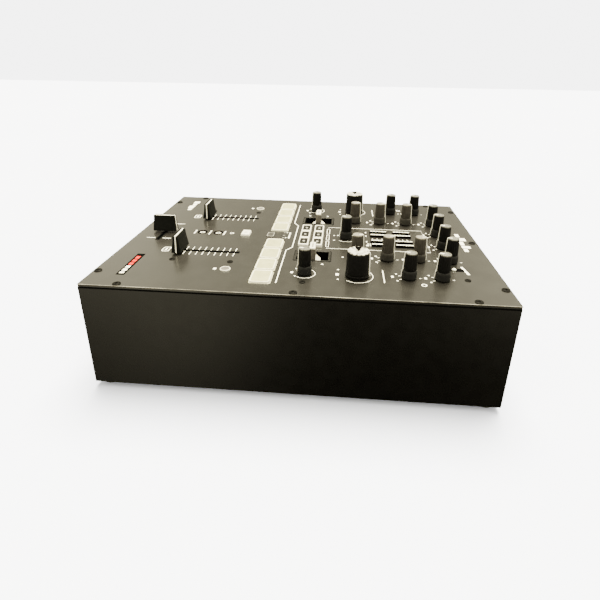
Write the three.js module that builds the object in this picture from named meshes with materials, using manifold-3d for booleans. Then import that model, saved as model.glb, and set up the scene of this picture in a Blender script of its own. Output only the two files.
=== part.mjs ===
// Two-channel desktop DJ mixer, in millimetres.
// +Z is up, +X is the user's right, -Y is the user's side (the front) and +Y is the rear with the sockets.
// The origin is the centre of the footprint, in the plane that the rubber feet stand on.
// Almost everything is mirrored about X = 0, so most pieces are made in left and right pairs.

import * as THREE from "three";
import { mergeVertices } from "three/addons/utils/BufferGeometryUtils.js";
import Module from "manifold-3d";

const wasm = await Module();
wasm.setup();

// ---------------------------------------------------------------- driving dimensions

const WIDTH = 264;
const DEPTH = 355;
const FOOT_HEIGHT = 5;
const BODY_HEIGHT = 97.5; // from the underside of the tray to the surface of the top plate
const PLATE = 2; // thickness of the top plate
const SHEET = 1.5; // thickness of the folded tray and of the end panels
const GAP = 0.3; // clearance between neighbouring pieces
const STUD = 2.5; // radius of the standoffs on the boards
const OVERLAP = 0.5; // how far joined solids of one piece reach into each other

const SURFACE = FOOT_HEIGHT + BODY_HEIGHT; // surface of the top plate
const PLATE_UNDER = SURFACE - PLATE;
const FLOOR = FOOT_HEIGHT + SHEET; // inner floor of the tray
const END = DEPTH / 2; // outer face of the front and rear panels
const END_INNER = END - SHEET;
const PANEL = { half: WIDTH / 2 - SHEET - GAP, z0: FLOOR + GAP, z1: PLATE_UNDER - GAP };

const BOARD = 1.6; // thickness of every circuit board
const BOARD_TOP = 85.6; // component side of the control board
const BOARD_UNDER = BOARD_TOP - BOARD;
const SIDES = [-1, 1]; // left and right

// Rotary controls: X is measured from the middle, and each pair is mirrored.
const KNOB_PAIRS = [
  { name: "effect_select_knob", x: 91, y: 6.1, style: "black" },
  { name: "effect_amount_knob", x: 91, y: 51.9, style: "large" },
  { name: "eq_low_knob", x: 52, y: 52.4, style: "grey" },
  { name: "eq_mid_knob", x: 52.5, y: 80.7, style: "grey" },
  { name: "eq_high_knob", x: 52, y: 110, style: "grey" },
  { name: "outer_front_knob", x: 90.5, y: 96.3, style: "black" },
  { name: "outer_rear_knob", x: 90.5, y: 124.6, style: "black" },
  { name: "gain_knob", x: 52, y: 139.5, style: "black" },
  { name: "level_knob", x: 17.3, y: 139.5, style: "black" },
];
const CENTRE_KNOB = { name: "centre_select_knob", x: 0, y: 42.3, style: "black" };
const KNOB_LIFT = 0.8; // gap under each knob
const KNOB_HEIGHT = 24.2; // top of each knob above the plate
const SKIRT = { radius: 6.5, height: 7.6 };
const GRIP = { foot: 5.95, foot_height: 10, top: 5.2 };
const LARGE_KNOB = { foot: 10.5, top: 9.7 };
const SHAFT = 3; // radius of a control shaft
const SHAFT_END = 89;
const BORE_GAP = 0.5; // all round a shaft where it passes through the plate
const POT = { half: 4.8, top: 95 }; // half width and top of a potentiometer's case

// Small trimmers that stand in wells along the middle line.
const TRIM_YS = [-111.8, -94.5];
const TRIM = { radius: 3, well: 4, top: SURFACE - 0.2, head: 4 };

// Faders.
const CHANNEL_X = 51.5;
const CHANNEL_SLOT = { from: -124, to: -61, half: 1.3 };
const CHANNEL_REST = -118.2;
const CROSS_Y = -151.3;
const CROSS_SLOT = { reach: 27, half: 1.3 };
const CROSS_REST = 1.5;
const FADER_CAP = { long: 24.6, short: 9.4, low: 1.5, high: 18.5 };
const CAP_TAPER = { long: 1, short: 2.1 }; // how far the ends and the sides of a cap lean in
const FADER_STEM = { thick: 1.2, wide: 4, end: 86.5 };
const FADER_CASE = { half: 5.5, top: 98, bottom: 80, groove_floor: 84, groove: 1.2, margin: 7 };
const FADER_BRACKET = { half: 62, front: CROSS_Y - 8 };

// Push controls.
const FLANGE = { low: 98.7, high: PLATE_UNDER - GAP, reach: 1.2 };
const SWITCH = { half: 3, top: 88.2 };
const STEM_END = SWITCH.top + 1.5;
const PUSH_STEM = 4; // side of the square stem under each cap
const PAD = { width: 24.9, depth: 18.8, pitch: 25.5, first: 25.3, y: -30.3, proud: 1.3, corner: 1.6 };
const PAD_COUNT = 4; // on each side
const EFFECT_BUTTON = { width: 19.4, depth: 10, pitch: 19.8, rows: [-0.7, 13.1], proud: 2.8, corner: 0.9 };
const CUE = { x: 90, y: -64.5, radius: 4.65, proud: 1.6 };
const TAP = { x: 0, y: -64.2, width: 14, depth: 9.4, proud: 2.2, corner: 1.2 };
const MODE = { x: 0, y: -37.6, width: 12, depth: 8, proud: 0.6, corner: 0.8 };

// Effect paddles.
const PADDLE = { x: 51.5, y: 10.6, width: 16, thick: 6, rise: 11.5, pivot: SURFACE - 10 };
const PADDLE_OPENING = { x0: 41.2, x1: 61.8, y0: -4.6, y1: 25.8 };
const PADDLE_SKIRT = { half: 9.5, low: -6, shoulder: -5, ridge: -1.6 };
const PADDLE_BARREL = 2.5; // radius

// Level meters: bars of lights in four columns and two rows.
const METER = { xs: [-18.9, -8.4, 8.4, 18.9], ys: [77, 101.5], width: 5, length: 18, proud: 1 };

// Rubber feet.
const FOOT = { x: 120, y: 167, radius: 8, base: 7, hole: 3, recess: 2 };

// Sockets on the rear and front panels: x across, z above the ground.
const INLET = { x: -100, z: 56, w: 28, h: 20.5, flange: 4, proud: 2 };
const INLET_CAVITY = { w: 24.5, h: 16, depth: 16 };
const POWER = { x: -66, z: 56, w: 13, h: 19, back: 5, tilt: 7, heel: 4, valley: 0.4, inset: 0.5 };
const USB = { xs: [-38, -16], z: 74, w: 12, h: 11, cavity_w: 8.6, cavity_h: 8, depth: 12 };
const TRS = { xs: [-38, -16], z: 38, radius: 4.5, bore: 3.25, nut: 6.6, proud: 3.2, depth: 30, body: 8 };
const RCA = { xs: [8, 26, 44, 62], zs: [72, 50], sleeve: 4.15, proud: 6.5, bore: 1.6, depth: 7, body: 6.5 };
const RCA_LIP = 0.5; // how far the body of a phono socket stands out of the panel
const RCA_BLOCK = { x0: -1, x1: 71, z0: 41, z1: 81 }; // the moulding that holds the phono sockets
const GROUND_POST = { x: 35, z: 28, radius: 4.5, shaft: 2, proud: 6.5 };
const XLR = { x: 94, zs: [72, 34], flange_w: 26, flange_h: 31, proud: 2, barrel: 11.8, bore: 9.6, depth: 15 };
const PHONES = { large_x: -104, small_x: -82, z: 58 };
const SMALL_JACK = { radius: 3, bore: 1.8, nut: 4.2, body: 5, depth: 14, proud: TRS.proud };
const NUT_SHORT = 0.7; // how far a jack's bushing stands out of its nut
const PHONES_BOARD = { back: 4, left: 12, right: 8, half_height: 14 };
const JACK_BOARD = { y: 158, x0: -50, x1: 112, z0: 14, z1: 92 };
const BEHIND = 0.3; // gap between a socket's body or flange and the panel it is fastened to

// Circuit boards. Half of the control board's outline is on the right; it leaves the fader cases clear.
const CONTROL_BOARD_EDGE = [[38, -122], [38, -50], [70, -50], [70, -72], [112, -72], [112, 154]];
const CONTROL_BOARD_STUDS = [[-104, -60], [104, -60], [-104, 148], [104, 148], [-70, 30], [70, 30], [0, 29]];
const MAIN_BOARD = { x0: -44, x1: 104, y0: -120, y1: 138, z: 22 };
const MAIN_CHIPS = [
  { x: 20, y: 0, w: 24, d: 24 },
  { x: 60, y: 60, w: 16, d: 16 },
  { x: -10, y: 70, w: 12, d: 20 },
];
const CHIP_HEIGHT = 4;
const MAIN_CAPACITORS = { x: 70, ys: [-90, -74, -58, -42], radius: 5, height: 14 };
const SUPPLY_BOARD = { x0: -122, x1: -58, y0: 10, y1: 146, z: 16 };
const TRANSFORMER = { x: -90, y: 50, w: 34, d: 30, height: 28 };
const HEAT_SINK = { x: -116, y: 100, w: 4, d: 60, height: 30 };
const SUPPLY_CAPACITORS = { x: -82, ys: [100, 122], radius: 8, height: 26 };
const STANDOFF_INSET = 6; // from a board's edges to its standoffs

// ---------------------------------------------------------------- materials

function paint(color, roughness, metalness) {
  return new THREE.MeshStandardMaterial({ color, roughness, metalness });
}

const MATERIALS = {
  plate: paint(0x2a2926, 0.5, 0.2),
  case: paint(0x201e1b, 0.55, 0.2),
  black_knob: paint(0x1b1b1a, 0.6, 0),
  grey_knob: paint(0x4b4640, 0.6, 0),
  white_cap: paint(0xe9e6d2, 0.5, 0),
  silicone: paint(0xeeead6, 0.7, 0),
  fader: paint(0x151514, 0.5, 0),
  board: paint(0x1d4a2c, 0.6, 0),
  steel: paint(0x9a9a98, 0.4, 0.9),
  socket: paint(0x181817, 0.5, 0),
  rubber: paint(0x141414, 0.9, 0),
};

// ---------------------------------------------------------------- shape helpers

const group = new THREE.Group();
group.name = "dj_mixer";

function box(x0, x1, y0, y1, z0, z1) {
  const cuboid = new THREE.BoxGeometry(x1 - x0, y1 - y0, z1 - z0);
  return cuboid.translate((x0 + x1) / 2, (y0 + y1) / 2, (z0 + z1) / 2);
}

// A block centred on (x, y).
function block(x, y, width, depth, z0, z1) {
  return box(x - width / 2, x + width / 2, y - depth / 2, y + depth / 2, z0, z1);
}

function rod(x, y, z0, z1, radius, sides = 12) {
  const upright = new THREE.CylinderGeometry(radius, radius, z1 - z0, sides).rotateX(Math.PI / 2);
  return upright.translate(x, y, (z0 + z1) / 2);
}

// A rod along Y, from y0 to y1, as the sockets are.
function rodAlongY(x, z, y0, y1, radius, sides = 12) {
  return new THREE.CylinderGeometry(radius, radius, y1 - y0, sides).translate(x, (y0 + y1) / 2, z);
}

// A turned piece about a vertical axis. The profile is [radius, height] pairs, from the bottom up.
function turned(x, y, profile, sides) {
  const points = profile.map(([r, z]) => new THREE.Vector2(r, z));
  return new THREE.LatheGeometry(points, sides).rotateX(Math.PI / 2).translate(x, y, 0);
}

function outline(points) {
  return new THREE.Shape(points.map(([x, y]) => new THREE.Vector2(x, y)));
}

function rectangle(x, y, width, depth) {
  const [x0, x1, y0, y1] = [x - width / 2, x + width / 2, y - depth / 2, y + depth / 2];
  return outline([[x0, y0], [x1, y0], [x1, y1], [x0, y1]]);
}

function roundedRectangle(x, y, width, depth, corner) {
  const [x0, x1, y0, y1] = [x - width / 2, x + width / 2, y - depth / 2, y + depth / 2];
  const shape = new THREE.Shape();
  shape.absarc(x1 - corner, y0 + corner, corner, -Math.PI / 2, 0);
  shape.absarc(x1 - corner, y1 - corner, corner, 0, Math.PI / 2);
  shape.absarc(x0 + corner, y1 - corner, corner, Math.PI / 2, Math.PI);
  shape.absarc(x0 + corner, y0 + corner, corner, Math.PI, Math.PI * 1.5);
  return shape;
}

// A round hole as a polygon whose flats keep the whole radius clear.
function roundHole(x, y, radius, sides = 10) {
  const corner = radius / Math.cos(Math.PI / sides);
  const points = [];
  for (let i = 0; i < sides; i++) {
    const angle = (2 * Math.PI * i) / sides;
    points.push([x + corner * Math.cos(angle), y + corner * Math.sin(angle)]);
  }
  return outline(points);
}

function raised(shape, z0, z1) {
  const settings = { depth: z1 - z0, bevelEnabled: false, curveSegments: 1 };
  return new THREE.ExtrudeGeometry(shape, settings).translate(0, 0, z0);
}

// A profile in the YZ plane, given as [y, z] pairs, that runs from x0 to x1.
function alongX(points, x0, x1) {
  const along = new THREE.ExtrudeGeometry(outline(points), { depth: x1 - x0, bevelEnabled: false });
  return along.applyMatrix4(new THREE.Matrix4().set(0, 0, 1, x0, 1, 0, 0, 0, 0, 1, 0, 0, 0, 0, 0, 1));
}

function solidOf(geometry) {
  const bare = geometry.clone();
  bare.deleteAttribute("normal");
  bare.deleteAttribute("uv");
  const merged = mergeVertices(bare, 1e-4);
  const vertProperties = new Float32Array(merged.attributes.position.array);
  const triVerts = new Uint32Array(merged.index.array);
  return new wasm.Manifold(new wasm.Mesh({ numProp: 3, vertProperties, triVerts }));
}

function geometryOf(solid) {
  const { vertProperties, triVerts } = solid.getMesh();
  const geometry = new THREE.BufferGeometry();
  geometry.setAttribute("position", new THREE.BufferAttribute(vertProperties, 3));
  geometry.setIndex(new THREE.BufferAttribute(triVerts, 1));
  geometry.computeVertexNormals();
  return geometry;
}

// All of the pieces joined, less all of the holes.
function carved(pieces, holes = []) {
  const whole = pieces.map(solidOf).reduce((sum, piece) => sum.add(piece));
  return geometryOf(holes.map(solidOf).reduce((left, hole) => left.subtract(hole), whole));
}

function add(name, geometry, material) {
  const mesh = new THREE.Mesh(geometry, material);
  mesh.name = name;
  group.add(mesh);
}

const side = (sign) => (sign < 0 ? "left" : "right");

// ---------------------------------------------------------------- layout shared by the plate and the board

const knobs = [CENTRE_KNOB];
for (const pair of KNOB_PAIRS) {
  for (const sign of SIDES) {
    knobs.push({ name: `${pair.name}_${side(sign)}`, x: sign * pair.x, y: pair.y, style: pair.style });
  }
}

const pads = [];
for (const sign of SIDES) {
  for (let i = 0; i < PAD_COUNT; i++) {
    pads.push({ name: `pad_${side(sign)}_${i + 1}`, x: sign * (PAD.first + i * PAD.pitch), y: PAD.y });
  }
}

const effectButtons = [];
EFFECT_BUTTON.rows.forEach((y, row) => {
  ["left", "middle", "right"].forEach((column, i) => {
    const name = `effect_button_${row === 0 ? "front" : "rear"}_${column}`;
    effectButtons.push({ name, x: (i - 1) * EFFECT_BUTTON.pitch, y });
  });
});

// ---------------------------------------------------------------- rotary controls

function knobProfile(style) {
  const [foot, top] = [SURFACE + KNOB_LIFT, SURFACE + KNOB_HEIGHT];
  const shaft = [[0, SHAFT_END], [SHAFT, SHAFT_END], [SHAFT, foot]];
  if (style === "large") {
    return [...shaft, [LARGE_KNOB.foot, foot], [LARGE_KNOB.top, top], [0, top]];
  }
  const skirt = [[SKIRT.radius, foot], [SKIRT.radius, SURFACE + SKIRT.height]];
  const grip = [[GRIP.foot, SURFACE + GRIP.foot_height], [GRIP.top, top], [0, top]];
  return [...shaft, ...skirt, ...grip];
}

function addKnobs() {
  for (const knob of knobs) {
    const material = knob.style === "grey" ? MATERIALS.grey_knob : MATERIALS.black_knob;
    add(knob.name, turned(knob.x, knob.y, knobProfile(knob.style), 16), material);
  }
}

function addTrimmers() {
  TRIM_YS.forEach((y, i) => {
    const head = TRIM.top - TRIM.head;
    const profile = [
      [0, SHAFT_END],
      [SHAFT / 2, SHAFT_END],
      [SHAFT / 2, head],
      [TRIM.radius, head],
      [TRIM.radius, TRIM.top],
      [0, TRIM.top],
    ];
    add(`trimmer_${i === 0 ? "front" : "rear"}`, turned(0, y, profile, 16), MATERIALS.white_cap);
  });
}

// ---------------------------------------------------------------- faders

// A tapered cap with its long side along X, on a flat stem that passes through the slot.
function faderCap() {
  const { long, short } = FADER_CAP;
  const [low, high] = [SURFACE + FADER_CAP.low, SURFACE + FADER_CAP.high];
  const body = new THREE.BoxGeometry(long, short, high - low).translate(0, 0, (high + low) / 2);
  const position = body.attributes.position;
  for (let i = 0; i < position.count; i++) {
    if (position.getZ(i) > (high + low) / 2) {
      position.setX(i, Math.sign(position.getX(i)) * (long / 2 - CAP_TAPER.long));
      position.setY(i, Math.sign(position.getY(i)) * (short / 2 - CAP_TAPER.short));
    }
  }
  return carved([body, block(0, 0, FADER_STEM.thick, FADER_STEM.wide, FADER_STEM.end, low + 2)]);
}

function addFaderCaps() {
  for (const sign of SIDES) {
    const cap = faderCap().translate(sign * CHANNEL_X, CHANNEL_REST, 0);
    add(`channel_fader_cap_${side(sign)}`, cap, MATERIALS.fader);
  }
  const crossfader = faderCap().rotateZ(Math.PI / 2).translate(CROSS_REST, CROSS_Y, 0);
  add("crossfader_cap", crossfader, MATERIALS.fader);
}

// One steel bracket with the three fader cases on it; each case has a groove that its stem runs in.
function addFaderCarrier() {
  const { half, top, bottom, groove_floor, groove, margin } = FADER_CASE;
  const [slot0, slot1] = [CHANNEL_SLOT.from, CHANNEL_SLOT.to];
  const reach = CROSS_SLOT.reach;
  const bracket = FADER_BRACKET;
  const low = bottom - OVERLAP;
  const pieces = [
    box(-bracket.half, bracket.half, bracket.front, slot1 + margin, bottom - SHEET, bottom),
    box(-reach - margin, reach + margin, CROSS_Y - half, CROSS_Y + half, low, top),
  ];
  const grooves = [box(-reach, reach, CROSS_Y - groove, CROSS_Y + groove, groove_floor, top + 1)];
  for (const sign of SIDES) {
    const x = sign * CHANNEL_X;
    pieces.push(box(x - half, x + half, slot0 - margin, slot1 + margin, low, top));
    grooves.push(box(x - groove, x + groove, slot0, slot1, groove_floor, top + 1));
  }
  add("fader_carrier", carved(pieces, grooves), MATERIALS.steel);
}

// ---------------------------------------------------------------- push controls

const stem = (x, y) => block(x, y, PUSH_STEM, PUSH_STEM, STEM_END, FLANGE.low + OVERLAP);

// A cap with a flange that keeps it under the plate and a stem that reaches for its switch.
function squareCap(at, size, flangeX, flangeY) {
  const shape = roundedRectangle(at.x, at.y, size.width, size.depth, size.corner);
  const cap = raised(shape, FLANGE.low, SURFACE + size.proud);
  const [width, depth] = [size.width + 2 * flangeX, size.depth + 2 * flangeY];
  const flange = block(at.x, at.y, width, depth, FLANGE.low, FLANGE.high);
  return carved([cap, flange, stem(at.x, at.y)]);
}

function addPushControls() {
  for (const pad of pads) {
    add(pad.name, squareCap(pad, PAD, 0, FLANGE.reach), MATERIALS.silicone);
  }
  for (const button of effectButtons) {
    add(button.name, squareCap(button, EFFECT_BUTTON, 0, FLANGE.reach), MATERIALS.white_cap);
  }
  for (const sign of SIDES) {
    const [x, y] = [sign * CUE.x, CUE.y];
    const cap = rod(x, y, FLANGE.low, SURFACE + CUE.proud, CUE.radius, 20);
    const flange = rod(x, y, FLANGE.low, FLANGE.high, CUE.radius + FLANGE.reach, 12);
    add(`cue_button_${side(sign)}`, carved([cap, flange, stem(x, y)]), MATERIALS.white_cap);
  }
  add("tap_button", squareCap(TAP, TAP, FLANGE.reach, FLANGE.reach), MATERIALS.white_cap);
  add("mode_button", squareCap(MODE, MODE, FLANGE.reach, FLANGE.reach), MATERIALS.white_cap);
}

// A lever with a roof-shaped skirt under the plate, on a pivot barrel that lies along X.
function addPaddles() {
  const { half, low, shoulder, ridge } = PADDLE_SKIRT;
  for (const sign of SIDES) {
    const [x0, x1] = [sign * PADDLE.x - PADDLE.width / 2, sign * PADDLE.x + PADDLE.width / 2];
    const [y, t] = [PADDLE.y, PADDLE.thick / 2];
    const lever = box(x0, x1, y - t, y + t, PADDLE.pivot, SURFACE + PADDLE.rise);
    const roof = alongX(
      [
        [y - half, SURFACE + low],
        [y + half, SURFACE + low],
        [y + half, SURFACE + shoulder],
        [y + t, SURFACE + ridge],
        [y - t, SURFACE + ridge],
        [y - half, SURFACE + shoulder],
      ],
      x0,
      x1,
    );
    const barrel = new THREE.CylinderGeometry(PADDLE_BARREL, PADDLE_BARREL, PADDLE.width, 12);
    barrel.rotateZ(Math.PI / 2);
    barrel.translate(sign * PADDLE.x, y, PADDLE.pivot);
    add(`effect_paddle_${side(sign)}`, carved([lever, roof, barrel]), MATERIALS.white_cap);
  }
}

// ---------------------------------------------------------------- top plate

const slab = ({ x, y, width, depth, corner }) =>
  roundedRectangle(x, y, width + 2 * GAP, depth + 2 * GAP, corner);

function plateOpenings() {
  const openings = knobs.map((knob) => roundHole(knob.x, knob.y, SHAFT + BORE_GAP));
  openings.push(...TRIM_YS.map((y) => roundHole(0, y, TRIM.well, 16)));
  for (const sign of SIDES) {
    openings.push(roundHole(sign * CUE.x, CUE.y, CUE.radius + GAP, 20));
    const reach = PAD.pitch * (PAD_COUNT - 1);
    const middle = sign * (PAD.first + reach / 2);
    openings.push(slab({ ...PAD, x: middle, width: reach + PAD.width }));
    const { x0, x1, y0, y1 } = PADDLE_OPENING;
    openings.push(rectangle((sign * (x0 + x1)) / 2, (y0 + y1) / 2, x1 - x0, y1 - y0));
    const slotMiddle = (CHANNEL_SLOT.from + CHANNEL_SLOT.to) / 2;
    const slotLength = CHANNEL_SLOT.to - CHANNEL_SLOT.from;
    openings.push(rectangle(sign * CHANNEL_X, slotMiddle, 2 * CHANNEL_SLOT.half, slotLength));
  }
  for (const y of EFFECT_BUTTON.rows) {
    openings.push(slab({ ...EFFECT_BUTTON, x: 0, y, width: 2 * EFFECT_BUTTON.pitch + EFFECT_BUTTON.width }));
  }
  openings.push(slab(TAP), slab(MODE));
  openings.push(rectangle(0, CROSS_Y, 2 * CROSS_SLOT.reach, 2 * CROSS_SLOT.half));
  for (const x of METER.xs) {
    for (const y of METER.ys) {
      openings.push(rectangle(x, y, METER.width + 2 * GAP, METER.length + 2 * GAP));
    }
  }
  return openings;
}

function addTopPlate() {
  const sheet = box(-WIDTH / 2, WIDTH / 2, -END, END, PLATE_UNDER, SURFACE);
  const openings = plateOpenings().map((shape) => raised(shape, PLATE_UNDER - 1, SURFACE + 1));
  add("top_plate", carved([sheet], openings), MATERIALS.plate);
}

// ---------------------------------------------------------------- casing

// The folded tray: a floor with two side walls.
function addTray() {
  const wallTop = PLATE_UNDER - GAP;
  const pieces = [box(-WIDTH / 2, WIDTH / 2, -END, END, FOOT_HEIGHT, FLOOR)];
  for (const sign of SIDES) {
    const outer = (sign * WIDTH) / 2;
    const inner = outer - sign * SHEET;
    pieces.push(box(Math.min(outer, inner), Math.max(outer, inner), -END, END, FOOT_HEIGHT, wallTop));
  }
  add("chassis_tray", carved(pieces), MATERIALS.case);
}

function addFeet() {
  for (const [end, y] of [["front", -FOOT.y], ["rear", FOOT.y]]) {
    for (const sign of SIDES) {
      const profile = [
        [0, FOOT.recess],
        [FOOT.hole, FOOT.recess],
        [FOOT.hole, 0],
        [FOOT.base, 0],
        [FOOT.radius, 1],
        [FOOT.radius, FOOT_HEIGHT],
        [0, FOOT_HEIGHT],
      ];
      add(`foot_${end}_${side(sign)}`, turned(sign * FOOT.x, y, profile, 16), MATERIALS.rubber);
    }
  }
}

// Cutters for the holes in a panel at the rear; the front panel's are turned about Z.
function squareCut(x, z, w, h) {
  return box(x - w / 2 - GAP, x + w / 2 + GAP, END_INNER - 1, END + 1, z - h / 2 - GAP, z + h / 2 + GAP);
}

function roundCut(x, z, radius) {
  return rodAlongY(x, z, END_INNER - 1, END + 1, radius + 2 * GAP, 12);
}

function addPanels() {
  const { half, z0, z1 } = PANEL;
  const rearCuts = [
    squareCut(INLET.x, INLET.z, INLET.w, INLET.h),
    squareCut(POWER.x, POWER.z, POWER.w, POWER.h + 2 * GAP),
    roundCut(GROUND_POST.x, GROUND_POST.z, GROUND_POST.shaft),
  ];
  rearCuts.push(...USB.xs.map((x) => squareCut(x, USB.z, USB.w, USB.h)));
  rearCuts.push(...TRS.xs.map((x) => roundCut(x, TRS.z, TRS.radius)));
  rearCuts.push(...RCA.xs.flatMap((x) => RCA.zs.map((z) => roundCut(x, z, RCA.body))));
  rearCuts.push(...XLR.zs.map((z) => roundCut(XLR.x, z, XLR.barrel)));
  add("rear_panel", carved([box(-half, half, END_INNER, END, z0, z1)], rearCuts), MATERIALS.case);

  const frontCuts = [
    roundCut(-PHONES.large_x, PHONES.z, TRS.radius).rotateZ(Math.PI),
    roundCut(-PHONES.small_x, PHONES.z, SMALL_JACK.radius).rotateZ(Math.PI),
  ];
  add("front_panel", carved([box(-half, half, -END, -END_INNER, z0, z1)], frontCuts), MATERIALS.case);
}

// ---------------------------------------------------------------- circuit boards

// A part on a board: a square block, or a round can where it has a radius.
function onBoard({ x, y, w, d, radius }, boardTop, height) {
  const low = boardTop - OVERLAP;
  return radius ? rod(x, y, low, height, radius) : block(x, y, w, d, low, height);
}

function addControlBoard() {
  const mirrored = CONTROL_BOARD_EDGE.map(([x, y]) => [-x, y]).reverse();
  const board = raised(outline([...CONTROL_BOARD_EDGE, ...mirrored]), BOARD_UNDER, BOARD_TOP);
  const pots = [...knobs, ...TRIM_YS.map((y) => ({ x: 0, y }))];
  const pressed = [...pads, ...effectButtons, TAP, MODE];
  pressed.push(...SIDES.map((sign) => ({ x: sign * CUE.x, y: CUE.y })));
  const solids = [board];
  const bores = [];
  for (const { x, y } of pots) {
    solids.push(onBoard({ x, y, w: 2 * POT.half, d: 2 * POT.half }, BOARD_TOP, POT.top));
    bores.push(rod(x, y, SHAFT_END - 2 * GAP, POT.top + 1, SHAFT + 2 * GAP, 8));
  }
  for (const { x, y } of pressed) {
    solids.push(onBoard({ x, y, w: 2 * SWITCH.half, d: 2 * SWITCH.half }, BOARD_TOP, SWITCH.top));
  }
  for (const x of METER.xs) {
    for (const y of METER.ys) {
      solids.push(onBoard({ x, y, w: METER.width, d: METER.length }, BOARD_TOP, SURFACE + METER.proud));
    }
  }
  for (const [x, y] of CONTROL_BOARD_STUDS) {
    solids.push(onBoard({ x, y, radius: STUD }, BOARD_TOP, PLATE_UNDER - GAP));
  }
  add("control_board", carved(solids, bores), MATERIALS.board);
}

// A flat board above the floor, on a standoff near each corner.
function boardOnStandoffs({ x0, x1, y0, y1, z }) {
  const solids = [box(x0, x1, y0, y1, z, z + BOARD)];
  for (const x of [x0 + STANDOFF_INSET, x1 - STANDOFF_INSET]) {
    for (const y of [y0 + STANDOFF_INSET, y1 - STANDOFF_INSET]) {
      solids.push(rod(x, y, FLOOR + GAP, z + OVERLAP, STUD + 0.5, 8));
    }
  }
  return solids;
}

function addMainBoard() {
  const { z } = MAIN_BOARD;
  const { x, ys, radius, height } = MAIN_CAPACITORS;
  const chips = MAIN_CHIPS.map((chip) => onBoard(chip, z + BOARD, z + CHIP_HEIGHT));
  const cans = ys.map((y) => onBoard({ x, y, radius }, z + BOARD, z + height));
  add("main_board", carved([...boardOnStandoffs(MAIN_BOARD), ...chips, ...cans]), MATERIALS.board);
}

function addPowerSupply() {
  const { z } = SUPPLY_BOARD;
  const { x, ys, radius, height } = SUPPLY_CAPACITORS;
  const blocks = [TRANSFORMER, HEAT_SINK].map((part) => onBoard(part, z + BOARD, z + part.height));
  const cans = ys.map((y) => onBoard({ x, y, radius }, z + BOARD, z + height));
  add("power_supply", carved([...boardOnStandoffs(SUPPLY_BOARD), ...blocks, ...cans]), MATERIALS.board);
}

// ---------------------------------------------------------------- sockets

// A panel jack on the rear: case behind the panel, threaded bushing through it and nut outside it.
function panelJack(x, z, { radius, bore, nut, proud, depth, body }) {
  const face = END_INNER - BEHIND;
  const tip = END + proud;
  const solids = [
    box(x - body, x + body, face - depth, face, z - body, z + body),
    rodAlongY(x, z, face - 1, tip, radius, 12),
    rodAlongY(x, z, END + BEHIND, tip - NUT_SHORT, nut, 6),
  ];
  return { solids, holes: [rodAlongY(x, z, tip + 2 - depth, tip + 1, bore, 12)] };
}

// The headphone jacks are made as if on the rear, then turned round to the front.
function addHeadphoneJacks() {
  const { large_x, small_x, z } = PHONES;
  const { back, left, right, half_height } = PHONES_BOARD;
  const large = panelJack(-large_x, z, TRS);
  const small = panelJack(-small_x, z, SMALL_JACK);
  const y1 = END_INNER - BEHIND - back;
  const board = box(-small_x - right, -large_x + left, y1 - BOARD, y1, z - half_height, z + half_height);
  const jacks = carved([board, ...large.solids, ...small.solids], [...large.holes, ...small.holes]);
  add("headphone_jacks", jacks.rotateZ(Math.PI), MATERIALS.socket);
}

function addRearJacks() {
  const face = END_INNER - BEHIND; // front of the housings that stay behind the panel
  const { y, x0, x1, z0, z1 } = JACK_BOARD;
  const back = y + BOARD - OVERLAP;
  const moulding = RCA_BLOCK;
  const solids = [
    box(x0, x1, y, y + BOARD, z0, z1),
    box(moulding.x0, moulding.x1, back, face, moulding.z0, moulding.z1),
  ];
  const holes = [];
  for (const x of USB.xs) {
    solids.push(box(x - USB.w / 2, x + USB.w / 2, back, END, USB.z - USB.h / 2, USB.z + USB.h / 2));
    const [hw, hh] = [USB.cavity_w / 2, USB.cavity_h / 2];
    holes.push(box(x - hw, x + hw, END - USB.depth, END + 1, USB.z - hh, USB.z + hh));
  }
  for (const x of TRS.xs) {
    const jack = panelJack(x, TRS.z, TRS);
    solids.push(...jack.solids);
    holes.push(...jack.holes);
  }
  for (const x of RCA.xs) {
    for (const z of RCA.zs) {
      solids.push(rodAlongY(x, z, face - OVERLAP, END + RCA_LIP, RCA.body, 12));
      solids.push(rodAlongY(x, z, END, END + RCA.proud, RCA.sleeve, 12));
      holes.push(rodAlongY(x, z, END + RCA.proud - RCA.depth, END + RCA.proud + 1, RCA.bore, 6));
    }
  }
  for (const z of XLR.zs) {
    const [hw, hh, outer] = [XLR.flange_w / 2, XLR.flange_h / 2, END + XLR.proud];
    solids.push(box(XLR.x - hw, XLR.x + hw, back, face, z - hw, z + hw));
    solids.push(rodAlongY(XLR.x, z, face - OVERLAP, END + 1, XLR.barrel, 12));
    solids.push(box(XLR.x - hw, XLR.x + hw, END + BEHIND, outer, z - hh, z + hh));
    holes.push(rodAlongY(XLR.x, z, outer - XLR.depth, outer + 1, XLR.bore, 16));
  }
  const post = GROUND_POST;
  solids.push(rodAlongY(post.x, post.z, back, END + 2, post.shaft, 10));
  solids.push(rodAlongY(post.x, post.z, END + BEHIND + 1, END + post.proud, post.radius, 12));
  add("rear_jacks", carved(solids, holes), MATERIALS.socket);
}

function addPowerInlet() {
  const { x, z, w, h, flange, proud } = INLET;
  const centred = (width, height, y0, y1) =>
    box(x - width / 2, x + width / 2, y0, y1, z - height / 2, z + height / 2);
  const outer = END + proud;
  const { depth } = INLET_CAVITY;
  const shell = centred(w, h, END - depth - flange, END + 1);
  const rim = centred(w + 2 * flange, h + flange, END + BEHIND, outer);
  const cavity = centred(INLET_CAVITY.w, INLET_CAVITY.h, outer - depth, outer + 1);
  add("power_inlet", carved([shell, rim], [cavity]), MATERIALS.socket);
}

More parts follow.
